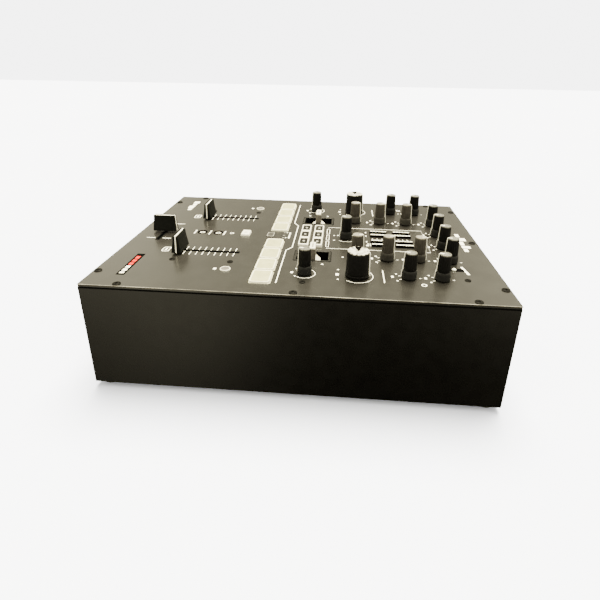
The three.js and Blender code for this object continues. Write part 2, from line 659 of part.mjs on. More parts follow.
// A rocker whose two faces meet in a shallow V; it rests tipped to its off side.
function addPowerSwitch() {
  const { x, z, w, h, back, tilt, heel, valley, inset } = POWER;
  const half = h / 2 - 2 * GAP;
  const angle = THREE.MathUtils.degToRad(tilt);
  const rise = Math.tan(angle) * half;
  const upper = [[-back, heel], [0, half], [rise, half], [valley, 0]];
  const lower = [[rise, -half], [0, -half], [-back, -heel]];
  const rocker = alongX([...upper, ...lower], -w / 2 + GAP, w / 2 - GAP);
  rocker.rotateX(angle).translate(x, END - inset, z);
  add("power_switch", rocker, MATERIALS.socket);
}

// ---------------------------------------------------------------- assembly

addTopPlate();
addTray();
addPanels();
addFeet();
addControlBoard();
addMainBoard();
addPowerSupply();
addFaderCarrier();
addPowerInlet();
addPowerSwitch();
addRearJacks();
addHeadphoneJacks();
addKnobs();
addTrimmers();
addFaderCaps();
addPushControls();
addPaddles();

export default group;
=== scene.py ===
"""Looks of a two-channel desktop DJ mixer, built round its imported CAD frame.

Lengths in this file are millimetres and are turned into metres when a mesh is made. +X is the user's right,
-Y the user's side (the front) and +Z up. An outline is a list of (x, y) points, and a ring is an outline at
a height.
"""

import math
import random

import bmesh
import bpy
from mathutils import Euler, Matrix, Vector


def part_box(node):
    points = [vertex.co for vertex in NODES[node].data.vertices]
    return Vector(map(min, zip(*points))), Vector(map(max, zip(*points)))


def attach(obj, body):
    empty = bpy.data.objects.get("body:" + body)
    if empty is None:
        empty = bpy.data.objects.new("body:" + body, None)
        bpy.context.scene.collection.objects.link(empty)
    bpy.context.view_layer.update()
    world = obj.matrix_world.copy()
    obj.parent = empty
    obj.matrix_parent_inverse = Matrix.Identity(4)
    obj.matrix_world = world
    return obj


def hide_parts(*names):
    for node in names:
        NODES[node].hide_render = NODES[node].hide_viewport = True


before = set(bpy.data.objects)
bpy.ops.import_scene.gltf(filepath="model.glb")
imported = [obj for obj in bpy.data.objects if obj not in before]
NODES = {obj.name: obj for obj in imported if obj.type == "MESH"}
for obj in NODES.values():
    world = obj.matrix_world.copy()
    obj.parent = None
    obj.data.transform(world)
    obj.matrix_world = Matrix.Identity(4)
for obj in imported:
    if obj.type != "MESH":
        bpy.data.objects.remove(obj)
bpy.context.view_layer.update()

MM = 0.001
SIDES = {"left": -1, "right": 1}
HOUSING = "housing"


def span(node):
    """Lowest and highest corner of a CAD node, in millimetres."""
    low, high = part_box(node)
    return low / MM, high / MM


def middle(node):
    low, high = span(node)
    return (low + high) / 2


PLATE_LOW, PLATE_HIGH = span("top_plate")
SURFACE = PLATE_HIGH.z  # upper face of the top plate
FRONT, REAR = PLATE_LOW.y, PLATE_HIGH.y
ON_PLATE = Matrix.Translation((0, 0, SURFACE))  # for pieces whose heights are measured from the plate
PRINT = (-0.05, 0.07)  # how far a mark reaches below and above the surface that it is on


# ---- shader nodes


def shader_node(tree, kind, inputs=None, **settings):
    """Adds a shader node. Each input is linked if it is given another node's output, and set otherwise."""
    made = tree.nodes.new("ShaderNode" + kind)
    for name, value in settings.items():
        setattr(made, name, value)
    for socket, value in (inputs or {}).items():
        if isinstance(value, bpy.types.NodeSocket):
            tree.links.new(value, made.inputs[socket])
        else:
            made.inputs[socket].default_value = value
    return made


def ranged(tree, value, limits, curve="LINEAR"):
    """Maps a value from the first two limits to the last two."""
    names = ("From Min", "From Max", "To Min", "To Max")
    inputs = {"Value": value, **dict(zip(names, limits))}
    return shader_node(tree, "MapRange", inputs, interpolation_type=curve).outputs["Result"]


def combined(tree, operation, first, second):
    return shader_node(tree, "Math", {0: first, 1: second}, operation=operation).outputs["Value"]


# ---- camera and studio

CAMERA_PLACE = (0.44536, 0.03401, 0.27203)  # metres
CAMERA_TURN = (67.752, -0.823, 94.656)  # degrees about X, Y and Z
CAMERA_LENS = 27.01
CAMERA_SENSOR = 36
CAMERA_SHIFT = (-0.0102, -0.0870)
CAMERA_NEAREST = 0.01  # metres

WARM_WHITE = (1.0, 0.925, 0.66)  # colour of all the light on the part
KEY_STRENGTH = 36.0
KEY_SPREAD = 40  # degrees that the key light covers, which sets how soft its shadows are
KEY_FROM = (-0.30, 0.06, 0.95)  # direction from the part to the key light
BACKDROP = 7.2  # brightness behind the part

# The soft light fades along each axis: where its fade starts and ends, and the brightness before and after.
SKY_ACROSS = (-1.0, 0.5, 1.52, 3.1)  # along X, from the part's left to its right
SKY_ALONG = (0.0, 0.2, 0.50, 1.35)  # along Y squared, from straight across to the part's ends
SKY_UPWARD = (-0.56, -0.1, 0.01, 1.0)  # along Z, from below
GLOW_FROM = (0.830, -0.310, -0.464)  # direction to the soft glow that the part's right side reflects
GLOW = (0.975, 1.0, 0.0, 2.0)  # the same four, by the cosine of the angle to that direction

FLOOR_SIZE = 12000
FLOOR_PALE = (0.635, 0.685, 0.945)  # leans to blue, so that it looks white in the warm light
FLOOR_DARKER = 0.985


def add_camera():
    data = bpy.data.cameras.new("camera")
    data.lens = CAMERA_LENS
    data.sensor_width = CAMERA_SENSOR
    data.shift_x, data.shift_y = CAMERA_SHIFT
    data.clip_start = CAMERA_NEAREST
    camera = bpy.data.objects.new("camera", data)
    camera.location = CAMERA_PLACE
    camera.rotation_euler = Euler([math.radians(angle) for angle in CAMERA_TURN])
    bpy.context.scene.collection.objects.link(camera)
    bpy.context.scene.camera = camera


def add_lights():
    key = bpy.data.lights.new("key", "SUN")
    key.energy = KEY_STRENGTH
    key.color = WARM_WHITE
    key.angle = math.radians(KEY_SPREAD)
    key_object = bpy.data.objects.new("key", key)
    key_object.rotation_euler = Vector(KEY_FROM).to_track_quat("Z", "Y").to_euler()
    bpy.context.scene.collection.objects.link(key_object)


def sky_strength(tree):
    """Brightness of the soft light in each direction."""
    way = shader_node(tree, "TexCoord").outputs["Generated"]
    axes = shader_node(tree, "SeparateXYZ", {"Vector": way}).outputs
    across = ranged(tree, axes["X"], SKY_ACROSS, "SMOOTHSTEP")
    along = ranged(tree, combined(tree, "MULTIPLY", axes["Y"], axes["Y"]), SKY_ALONG, "SMOOTHSTEP")
    upward = ranged(tree, axes["Z"], SKY_UPWARD, "SMOOTHSTEP")
    even = combined(tree, "MULTIPLY", combined(tree, "MULTIPLY", across, along), upward)
    closeness = shader_node(tree, "VectorMath", {0: way, 1: GLOW_FROM}, operation="DOT_PRODUCT")
    glow = ranged(tree, closeness.outputs["Value"], GLOW, "SMOOTHSTEP")
    return combined(tree, "ADD", even, glow)


def add_sky():
    """An even white backdrop, and soft light of its own strength on the part."""
    world = bpy.data.worlds.new("studio")
    bpy.context.scene.world = world
    world.use_nodes = True
    tree = world.node_tree
    tree.nodes.clear()
    seen = shader_node(tree, "Background", {"Strength": BACKDROP})
    light = shader_node(tree, "Background", {"Color": (*WARM_WHITE, 1), "Strength": sky_strength(tree)})
    path = shader_node(tree, "LightPath")
    mix = shader_node(tree, "MixShader", {
        "Fac": path.outputs["Is Camera Ray"],
        1: light.outputs["Background"],
        2: seen.outputs["Background"],
    })
    shader_node(tree, "OutputWorld", {"Surface": mix.outputs["Shader"]})


# ---- finishes

SHADE_STOPS = (0.34, 0.66)  # where the noise shows the darker and the lighter shade in full
GLOSS_STOPS = (0.35, 0.65)
GLOSS_GRAIN = 0.45  # grain of the roughness as a share of the shade's

# Each finish: darker and lighter shade, grain, roughness, relief and how strongly it mirrors. grain is the
# size of the shade's variation, roughness its lowest and highest value, and relief its size and depth.
FINISHES = {
    "plate_paint": ((0.0054, 0.0051, 0.0046), (0.0068, 0.0065, 0.0058), 30, (0.24, 0.27), (0.5, 0.006), 0.5),
    "case_paint": ((0.0009, 0.0008, 0.0007), (0.0014, 0.0013, 0.0011), 24, (0.26, 0.29), (0.5, 0.01), 0.31),
    # edge_highlight_paint: lighter paint that stands for the highlight on the plate's rounded edges
    "edge_highlight_paint": ((0.045, 0.043, 0.037), (0.19, 0.18, 0.155), 16, (0.34, 0.44), (0.5, 0.006), 0.5),
    "bezel_paint": ((0.003, 0.0028, 0.0026), (0.0042, 0.004, 0.0036), 20, (0.24, 0.32), (0.5, 0.008), 0.25),
    "black_knob": ((0.0014, 0.0014, 0.0015), (0.0026, 0.0026, 0.0028), 2.2, (0.56, 0.68), (0.35, 0.015), 0.05),
    "knob_skirt": ((0.0046, 0.0048, 0.0051), (0.007, 0.0072, 0.0075), 3.0, (0.58, 0.7), (0.35, 0.015), 0.08),
    # knob_top_highlights: the black knobs' tops, lighter than the grip, with speckles painted as highlights
    "knob_top_highlights": ((0.03, 0.029, 0.024), (0.085, 0.083, 0.072), 1.3, (0.34, 0.5), (0.4, 0.03), 0.5),
    "grey_knob": ((0.0175, 0.0158, 0.0138), (0.0255, 0.0232, 0.0205), 2.4, (0.45, 0.58), (0.35, 0.02), 0.12),
    "grey_skirt": ((0.0165, 0.0158, 0.0144), (0.0225, 0.0216, 0.0198), 3.0, (0.55, 0.66), (0.35, 0.015), 0.1),
    # grey_top_highlights: the equaliser knobs' tops, lighter than the grip, with speckles painted as
    # highlights and shade
    "grey_top_highlights": ((0.055, 0.051, 0.041), (0.15, 0.14, 0.115), 1.3, (0.4, 0.54), (0.4, 0.03), 0.5),
    # dial_white_shaded: the large knob's white face, with dark patches painted as shading
    "dial_white_shaded": ((0.09, 0.087, 0.074), (0.58, 0.57, 0.5), 4.5, (0.28, 0.4), (0.6, 0.02), 0.5),
    "white_cap": ((0.5, 0.49, 0.42), (0.58, 0.57, 0.5), 3.0, (0.3, 0.42), (0.6, 0.01), 0.5),
    "pad_silicone": ((0.5, 0.49, 0.36), (0.56, 0.55, 0.42), 5.0, (0.48, 0.6), (0.35, 0.015), 0.5),
    "pad_face": ((0.215, 0.211, 0.095), (0.265, 0.26, 0.128), 7.0, (0.52, 0.64), (0.35, 0.02), 0.5),
    "fader_cap": ((0.0018, 0.0021, 0.0018), (0.0032, 0.0036, 0.0032), 2.0, (0.66, 0.78), (0.3, 0.015), 0.05),
    "paddle_grey": ((0.05, 0.045, 0.041), (0.072, 0.066, 0.06), 2.0, (0.34, 0.48), (0.4, 0.01), 0.3),
    "circuit_board": ((0.006, 0.03, 0.012), (0.012, 0.055, 0.022), 4.0, (0.3, 0.5), (0.8, 0.05), 0.5),
    "socket_plastic": ((0.008, 0.008, 0.008), (0.013, 0.013, 0.012), 3.0, (0.36, 0.48), (0.4, 0.015), 0.5),
    "socket_red": ((0.3, 0.012, 0.008), (0.38, 0.022, 0.014), 1.6, (0.36, 0.48), (0.4, 0.006), 0.5),
    "foot_rubber": ((0.006, 0.006, 0.006), (0.01, 0.01, 0.0095), 1.6, (0.72, 0.88), (0.5, 0.05), 0.5),
    "print_white": ((0.64, 0.63, 0.57), (0.74, 0.73, 0.67), 1.6, (0.5, 0.62), (0.4, 0.004), 0.5),
    "print_grey": ((0.11, 0.105, 0.095), (0.15, 0.145, 0.13), 1.6, (0.5, 0.62), (0.4, 0.004), 0.5),
    "print_red": ((0.3, 0.0065, 0.0035), (0.38, 0.012, 0.006), 2.0, (0.42, 0.55), (0.4, 0.004), 0.05),
    "print_black": ((0.0015, 0.0015, 0.0015), (0.0026, 0.0026, 0.0026), 2.0, (0.6, 0.72), (0.4, 0.004), 0.0),
    "screw_black": ((0.0018, 0.0018, 0.0016), (0.0042, 0.004, 0.0036), 0.9, (0.42, 0.55), (0.25, 0.02), 0.03),
    "dark_window": ((0.0025, 0.0025, 0.0025), (0.0045, 0.0045, 0.004), 2.0, (0.2, 0.3), (0.5, 0.003), 0.15),
    "light_lens": ((0.54, 0.54, 0.48), (0.64, 0.64, 0.58), 1.2, (0.12, 0.22), (0.3, 0.004), 0.5),
    "bracket_steel": ((0.3, 0.3, 0.29), (0.42, 0.42, 0.41), 6.0, (0.28, 0.44), (0.5, 0.01), 0.5),
    "contact_metal": ((0.55, 0.4, 0.16), (0.66, 0.5, 0.22), 1.2, (0.2, 0.32), (0.3, 0.005), 0.5),
    "nut_chrome": ((0.5, 0.5, 0.5), (0.66, 0.66, 0.66), 1.5, (0.16, 0.28), (0.3, 0.005), 0.5),
}
METALS = ("bracket_steel", "contact_metal", "nut_chrome")
COATED = {"light_lens": 0.5}


def finish(name, dark, light, grain, roughness, relief, mirror):
    """A procedural finish that mixes two shades, as FINISHES says."""
    material = bpy.data.materials.new(name)
    material.use_nodes = True
    tree = material.node_tree
    tree.nodes.clear()
    place = shader_node(tree, "TexCoord").outputs["Object"]

    def noise(size, detail):
        inputs = {"Vector": place, "Scale": 1 / (size * MM), "Detail": detail}
        return shader_node(tree, "TexNoise", inputs).outputs["Fac"]

    shades = shader_node(tree, "ValToRGB", {"Fac": noise(grain, 4)})
    for stop, position, shade in zip(shades.color_ramp.elements, SHADE_STOPS, (dark, light)):
        stop.position = position
        stop.color = (*shade, 1)
    gloss = ranged(tree, noise(grain * GLOSS_GRAIN, 3), (*GLOSS_STOPS, *roughness))
    size, depth = relief
    bump = shader_node(tree, "Bump", {"Strength": 1.0, "Distance": depth * MM, "Height": noise(size, 2)})
    shader = shader_node(tree, "BsdfPrincipled", {
        "Base Color": shades.outputs["Color"],
        "Roughness": gloss,
        "Normal": bump.outputs["Normal"],
        "Specular IOR Level": mirror,
        "Metallic": 1.0 if name in METALS else 0.0,
        "Coat Weight": COATED.get(name, 0.0),
    })
    shader_node(tree, "OutputMaterial", {"Surface": shader.outputs["BSDF"]})
    return material


MATERIALS = {name: finish(name, *recipe) for name, recipe in FINISHES.items()}


def add_floor():
    half = FLOOR_SIZE / 2 * MM
    bm = bmesh.new()
    corners = ((-half, -half), (half, -half), (half, half), (-half, half))
    bm.faces.new([bm.verts.new((x, y, 0)) for x, y in corners])
    mesh = bpy.data.meshes.new("studio_floor")
    bm.to_mesh(mesh)
    bm.free()
    darker = tuple(shade * FLOOR_DARKER for shade in FLOOR_PALE)
    mesh.materials.append(finish("floor_pale", darker, FLOOR_PALE, 400, (0.6, 0.7), (30, 0.02), 0.0))
    floor = bpy.data.objects.new("studio_floor", mesh)
    bpy.context.scene.collection.objects.link(floor)
    floor.visible_glossy = False
    floor.visible_diffuse = False


# ---- outlines

CORNER_STEPS = 4  # sides of each round corner


def circle(radius, sides=32, x=0.0, y=0.0):
    angles = [2 * math.pi * i / sides for i in range(sides)]
    return [(x + radius * math.cos(a), y + radius * math.sin(a)) for a in angles]


def arc(x, y, radius, start, end, steps):
    angles = [math.radians(start + (end - start) * i / steps) for i in range(steps + 1)]
    return [(x + radius * math.cos(a), y + radius * math.sin(a)) for a in angles]


def fluted(radius, flutes, depth, sides, x=0.0, y=0.0):
    """A circle with rounded ribs between narrow hollows."""
    points = []
    for i in range(sides):
        angle = 2 * math.pi * i / sides
        hollow = (0.5 - 0.5 * math.cos(flutes * angle)) ** 3
        reach = radius - depth * hollow
        points.append((x + reach * math.cos(angle), y + reach * math.sin(angle)))
    return points


def rounded(width, depth, corner, x=0.0, y=0.0):
    """A rectangle with round corners."""
    points = []
    for quarter, (side_x, side_y) in enumerate(((1, 1), (-1, 1), (-1, -1), (1, -1))):
        centre_x = x + side_x * (width / 2 - corner)
        centre_y = y + side_y * (depth / 2 - corner)
        for step in range(CORNER_STEPS + 1):
            angle = math.pi / 2 * (quarter + step / CORNER_STEPS)
            points.append((centre_x + corner * math.cos(angle), centre_y + corner * math.sin(angle)))
    return points


def cross(arm, half_width, sides, x=0.0, y=0.0):
    """A plus sign, with its points at even angles."""
    points = []
    for i in range(sides):
        angle = 2 * math.pi * (i + 0.5) / sides
        c, s = abs(math.cos(angle)), abs(math.sin(angle))
        reach = max(min(arm / c, half_width / s), min(half_width / c, arm / s))
        points.append((x + reach * math.cos(angle), y + reach * math.sin(angle)))
    return points


def at(points, z):
    return [(x, y, z) for x, y in points]


# ---- solids
# Each of these makes a new bmesh, or adds to the one that it is given as onto.


def loft(rings, joined=False, onto=None):
    """A closed skin over rings of equally many points, capped at both ends or joined end to end."""
    bm = bmesh.new() if onto is None else onto
    loops = [[bm.verts.new(point) for point in ring] for ring in rings]
    following = loops[1:] + loops[:1] if joined else loops[1:]
    for low, high in zip(loops, following):
        for i in range(len(low)):
            j = (i + 1) % len(low)
            bm.faces.new((low[i], low[j], high[j], high[i]))
    if not joined:
        bm.faces.new(reversed(loops[0]))
        bm.faces.new(loops[-1])
    return bm


def prism(points, z0, z1, onto=None):
    return loft([at(points, z0), at(points, z1)], onto=onto)


def box(x0, x1, y0, y1, z0, z1, onto=None):
    return prism([(x0, y0), (x1, y0), (x1, y1), (x0, y1)], z0, z1, onto)


def turned(x, y, profile, sides=32, joined=False, onto=None):
    """A turned piece; profile is its (radius, height) points."""
    return loft([at(circle(radius, sides, x, y), z) for radius, z in profile], joined, onto)


def stepped(x, y, size, steps, joined=False, onto=None):
    """Round-cornered rectangles lofted in turn; steps is their (inset, corner, height)."""
    width, depth = size
    rings = [at(rounded(width - 2 * inset, depth - 2 * inset, corner, x, y), z) for inset, corner, z in steps]
    return loft(rings, joined, onto)


def ribbon(points, width, z0, z1, closed=False, onto=None):
    """A flat band of one width along a line of points, mitred where the line bends."""
    count = len(points)
    sections = []
    for i in range(count):
        here = Vector(points[i])
        before = Vector(points[i - 1]) if closed or i > 0 else None
        after = Vector(points[(i + 1) % count]) if closed or i < count - 1 else None
        arriving = (here - before).normalized() if before else None
        leaving = (after - here).normalized() if after else arriving
        arriving = arriving or leaving
        along = (arriving + leaving).normalized()
        reach = width / 2 / max(along.dot(arriving), 0.5)
        side = Vector((-along.y, along.x)) * reach
        low, high = here - side, here + side
        sections.append([(*low, z0), (*high, z0), (*high, z1), (*low, z1)])
    return loft(sections, closed, onto)


def strip_over(section, wide, proud, deep):
    """A strip along a line of (x, z) points, that stands proud of it on one side and sinks on the other."""
    loops = []
    for i, point in enumerate(section):
        before = Vector(section[max(i - 1, 0)])
        after = Vector(section[min(i + 1, len(section) - 1)])
        along = (after - before).normalized()
        out = Vector((-along.y, along.x))
        upper = Vector(point) + out * proud
        under = Vector(point) - out * deep
        corners = ((under, -0.5), (upper, -0.42), (upper, 0.42), (under, 0.5))
        loops.append([(p.x, share * wide, p.y) for p, share in corners])
    return loft(loops)


def add_to(target, source, place):
    """Moves a small bmesh by a matrix and adds it to a larger one."""
    source.transform(place)
    mesh = bpy.data.meshes.new("part")
    source.to_mesh(mesh)
    target.from_mesh(mesh)
    bpy.data.meshes.remove(mesh)
    source.free()


def on_plate(x, y, angle=0):
    """A matrix that turns a piece about its middle by an angle in degrees, and stands it on the plate."""
    return Matrix.Translation((x, y, SURFACE)) @ Matrix.Rotation(math.radians(angle), 4, "Z")


def on_top(node):
    """A matrix that stands a piece on the middle of a node's top."""
    return Matrix.Translation((*middle(node).xy, span(node)[1].z))


def facing(x, y, z, outward):
    """A matrix that stands a piece made on z = 0 on a wall, with outward as its up."""
    return Matrix.Translation((x, y, z)) @ Vector(outward).to_track_quat("Z", "Y").to_matrix().to_4x4()


# ---- pieces


def shaded(bm, sharp):
    """Smooth shading, with every edge that turns by more than sharp degrees left crisp."""
    limit = math.radians(sharp)
    for face in bm.faces:
        face.smooth = True
    for edge in bm.edges:
        edge.smooth = edge.is_manifold and edge.calc_face_angle(0) < limit


def piece_of(name, bm, material, body=HOUSING, replaces=(), sharp=35, turn=None):
    """Turns a bmesh in millimetres into a piece of the part; turn is a matrix in millimetres."""
    bmesh.ops.recalc_face_normals(bm, faces=bm.faces)
    shaded(bm, sharp)
    if turn:
        bm.transform(turn)
    bm.transform(Matrix.Scale(MM, 4))
    mesh = bpy.data.meshes.new(name)
    bm.to_mesh(mesh)
    bm.free()
    mesh.materials.append(MATERIALS[material])
    piece = bpy.data.objects.new(name, mesh)
    bpy.context.scene.collection.objects.link(piece)
    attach(piece, body)
    if replaces:
        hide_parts(*replaces)
    return piece


def bevelled(piece, width, segments):
    bevel = piece.modifiers.new("bevel", "BEVEL")
    bevel.width = width * MM
    bevel.segments = segments
    bevel.limit_method = "ANGLE"
    bevel.angle_limit = math.radians(30)
    normals = piece.modifiers.new("normals", "WEIGHTED_NORMAL")
    normals.keep_sharp = True


def upright_corners(bm, low, high):
    """The upright edges at a box's four corners."""

    def at_corner(v):
        near_x = min(abs(v.co.x - low.x), abs(v.co.x - high.x)) < 0.01
        return near_x and min(abs(v.co.y - low.y), abs(v.co.y - high.y)) < 0.01

    return [edge for edge in bm.edges
            if all(at_corner(v) for v in edge.verts) and abs(edge.verts[0].co.z - edge.verts[1].co.z) > 0.5]


def refined(node, material, bevel, segments=2, body=HOUSING, round_corners=0):
    """A copy of a CAD node with its flat faces joined up and its edges broken."""
    bm = bmesh.new()
    bm.from_mesh(NODES[node].data)
    bm.transform(Matrix.Scale(1 / MM, 4))
    bmesh.ops.remove_doubles(bm, verts=bm.verts, dist=0.002)
    bmesh.ops.dissolve_limit(bm, angle_limit=math.radians(1), verts=bm.verts, edges=bm.edges)
    if round_corners:
        corners = upright_corners(bm, *span(node))
        bmesh.ops.bevel(bm, geom=corners, offset=round_corners, segments=5, affect="EDGES", profile=0.5)
    piece = piece_of(f"{node}_shell", bm, material, body, replaces=[node], sharp=180)
    bevelled(piece, bevel, segments)


# ---- casing

EDGE_SHADOW = {"high": 1.6, "proud": 0.02, "deep": 0.3}  # black strip painted under the plate's long edges as the shadow in the joint there
EDGE_HIGHLIGHT = {"high": 0.35, "proud": 0.01, "deep": 0.5}  # lighter strip painted along the plate's long top edges as the highlight that they catch

SCREW_SIDES = 48
PLATE_EDGE_SCREWS = ((0, 172.3), (105, 173), (105, -173.3), (128, -145.6), (128, 0), (128, 145.5))
PLATE_INNER_SCREWS = ((108.4, 5.7), (90, 146.2), (74, -118.5), (74, -64))
PLATE_SCREWS = ((PLATE_EDGE_SCREWS, 3.4), (PLATE_INNER_SCREWS, 2.7))  # places and radius
PANEL_SCREW = {"radius": 2.4, "from_side": 5, "from_edge": 4.5}
FLOOR_SCREW = {"radius": 2.6, "xs": (-100, -36, 36, 100), "ys": (-120, 0, 120)}
# A dished washer head of radius 3.1: the radius and height of its rings. It stands on z = 0.
SCREW_RINGS = ((3.1, -0.3), (3.1, 0.45), (2.95, 0.6), (2.75, 0.55), (2.55, 0.3), (2.25, 0.4), (1.9, 0.7),
               (1.75, 0.85))
SCREW_SOCKET = ((1.5, 0.42, 0.85), (1.05, 0.336, -0.5))  # arm, half width and height of its mouth and bottom


def add_casing():
    refined("top_plate", "plate_paint", 0.35, 3, round_corners=1.6)
    refined("chassis_tray", "case_paint", 0.45, 3)
    refined("front_panel", "case_paint", 0.25)
    refined("rear_panel", "case_paint", 0.25)
    for end in ("front", "rear"):
        for side in SIDES:
            refined(f"foot_{end}_{side}", "foot_rubber", 0.5, 3)


def add_long_edges():
    low, high = span("chassis_tray")
    for side, sign in SIDES.items():
        wall = high.x if sign > 0 else low.x
        xs = sorted((wall - sign * EDGE_SHADOW["deep"], wall + sign * EDGE_SHADOW["proud"]))
        # the black strip stands for the shadow in the joint under the plate
        shadow_line = box(*xs, low.y + 1, high.y - 1, PLATE_LOW.z - EDGE_SHADOW["high"], PLATE_LOW.z)
        piece_of(f"edge_shadow_{side}", shadow_line, "print_black")
        # a lighter strip along the plate's top edge: a painted highlight
        xs = sorted((wall - sign * EDGE_HIGHLIGHT["deep"], wall + sign * EDGE_HIGHLIGHT["proud"]))
        highlight_band = box(*xs, low.y, high.y, SURFACE - EDGE_HIGHLIGHT["high"], SURFACE + EDGE_HIGHLIGHT["proud"])
        piece_of(f"painted_edge_highlight_{side}", highlight_band, "edge_highlight_paint")


def screw(x, y, radius, onto=None):
    scale = radius / SCREW_RINGS[0][0]
    rings = [at(circle(r * scale, SCREW_SIDES, x, y), z * scale) for r, z in SCREW_RINGS]
    for arm, slot, z in SCREW_SOCKET:
        rings.append(at(cross(arm * scale, slot * scale, SCREW_SIDES, x, y), z * scale))
    return loft(rings, onto=onto)


def add_plate_screws():
    bm = bmesh.new()
    for places, radius in PLATE_SCREWS:
        for x, y in places:
            for sign in ((1,) if x == 0 else (-1, 1)):
                screw(sign * x, y, radius, bm)
    piece_of("plate_screws", bm, "screw_black", turn=ON_PLATE)


def add_case_screws():
    low, high = span("rear_panel")
    for end, y, outward in (("rear", REAR, (0, 1, 0)), ("front", FRONT, (0, -1, 0))):
        bm = bmesh.new()
        for x in (low.x + PANEL_SCREW["from_side"], 0, high.x - PANEL_SCREW["from_side"]):
            for z in (low.z + PANEL_SCREW["from_edge"], high.z - PANEL_SCREW["from_edge"]):
                add_to(bm, screw(0, 0, PANEL_SCREW["radius"]), facing(x, y, z, outward))
        piece_of(f"{end}_screws", bm, "screw_black")

    bm = bmesh.new()
    for x in FLOOR_SCREW["xs"]:
        for y in FLOOR_SCREW["ys"]:
            screw(x, y, FLOOR_SCREW["radius"], bm)
    upside_down = Matrix.Translation((0, 0, span("chassis_tray")[0].z)) @ Matrix.Rotation(math.pi, 4, "X")
    piece_of("floor_screws", bm, "screw_black", turn=upside_down)


# ---- rotary controls

KNOB_NAMES = ("effect_select_knob", "effect_amount_knob", "eq_low_knob", "eq_mid_knob", "eq_high_knob",
              "outer_front_knob", "outer_rear_knob", "gain_knob", "level_knob")
KNOB_GAP = 0.8  # under every knob
KNOB_TOP = span("centre_select_knob")[1].z - SURFACE  # height of a knob above the plate
GRIP_SIDES = 144
SKIRT_SIDES = 72
LINE_PROUD, LINE_DEEP = 0.75, 0.5  # how far a knob's pointer stands out and reaches in

# A knob's shape, with heights from the plate. grip and face: radius, depth of the flutes and height. skirt:
# radius and height. line: the way of the pointer, from the top's middle to the foot.
SMALL_KNOB = {
    "flutes": 18,
    "grip": [(5.0, 0.0, 7.6), (5.3, 0.0, 8.2), (5.55, 0.2, 8.7), (5.5, 0.26, 12.0), (5.3, 0.28, 18.0),
             (5.08, 0.4, 22.4), (5.0, 0.55, 22.8), (4.9, 0.55, 22.9), (4.6, 0.5, 22.9)],
    "skirt": [(5.3, 1.6), (6.1, KNOB_GAP), (6.4, KNOB_GAP + 0.3), (6.4, 5.2), (6.36, 6.1), (6.2, 7.0),
              (5.95, 7.6), (5.6, 8.0), (5.0, 8.15)],
    "face": (4.85, 0.6, KNOB_TOP - 0.15),
    "line": [(1.2, KNOB_TOP - 0.9), (4.3, KNOB_TOP - 0.9), (4.75, KNOB_TOP - 1.1), (4.95, 22.6), (5.2, 18.0),
             (5.45, 12.0), (5.6, 8.6), (6.0, 7.2), (6.25, 5.9), (6.3, 5.0), (6.3, 1.3)],
    "line_width": 1.2,
}
LARGE_KNOB = {
    "flutes": 14,
    "grip": [(8.8, 0.0, 2.0), (9.6, 0.0, 3.7), (10.1, 0.0, 4.1), (10.05, 0.08, 7.0), (9.85, 0.1, 14.0),
             (9.7, 0.15, 20.0), (9.65, 0.6, 22.0), (9.55, 0.85, 22.7), (9.3, 0.85, 22.9), (8.9, 0.8, 22.9)],
    "skirt": [(9.0, 1.6), (10.2, KNOB_GAP + 0.6), (10.55, KNOB_GAP + 0.9), (10.55, 2.4), (10.4, 3.1),
              (10.0, 3.4), (9.2, 3.4)],
    "face": (9.35, 0.95, 24.0),
    "line": [(6.0, 22.9), (8.9, 22.9), (9.3, 22.6), (9.5, 21.5), (9.7, 14.0), (9.95, 7.0), (10.1, 4.2),
             (10.3, 2.8), (10.4, 1.6)],
    "line_width": 1.4,
}
FACE_STEPS = ((1.0, -1.2), (1.0, -0.3), (0.965, -0.08), (0.9, 0.0), (0.8, -0.06), (0.72, -0.45), (0.4, -0.6),
              (0.1, -0.62))  # share of the face's radius, and height from its rim: a dish
REFLECTION_WEDGE = {"inner": 1.0, "outer": 8.5, "from": 158, "to": 202}  # a black wedge painted in a large knob's face, pointing to -X, as the dark part of its reflection

# Each style: shape, finishes of grip, skirt and face, slot of the face, and the pointer's direction from +X.
# The equalisers stand in the middle of their travel and the black knobs at seven o'clock.
KNOB_STYLES = {
    "black": (SMALL_KNOB, "black_knob", "knob_skirt", "knob_top_highlights", "black_knob", -104),
    "grey": (SMALL_KNOB, "grey_knob", "grey_skirt", "grey_top_highlights", "white_cap", 90),
    "large": (LARGE_KNOB, "black_knob", "black_knob", "dial_white_shaded", "white_cap", 78),
}


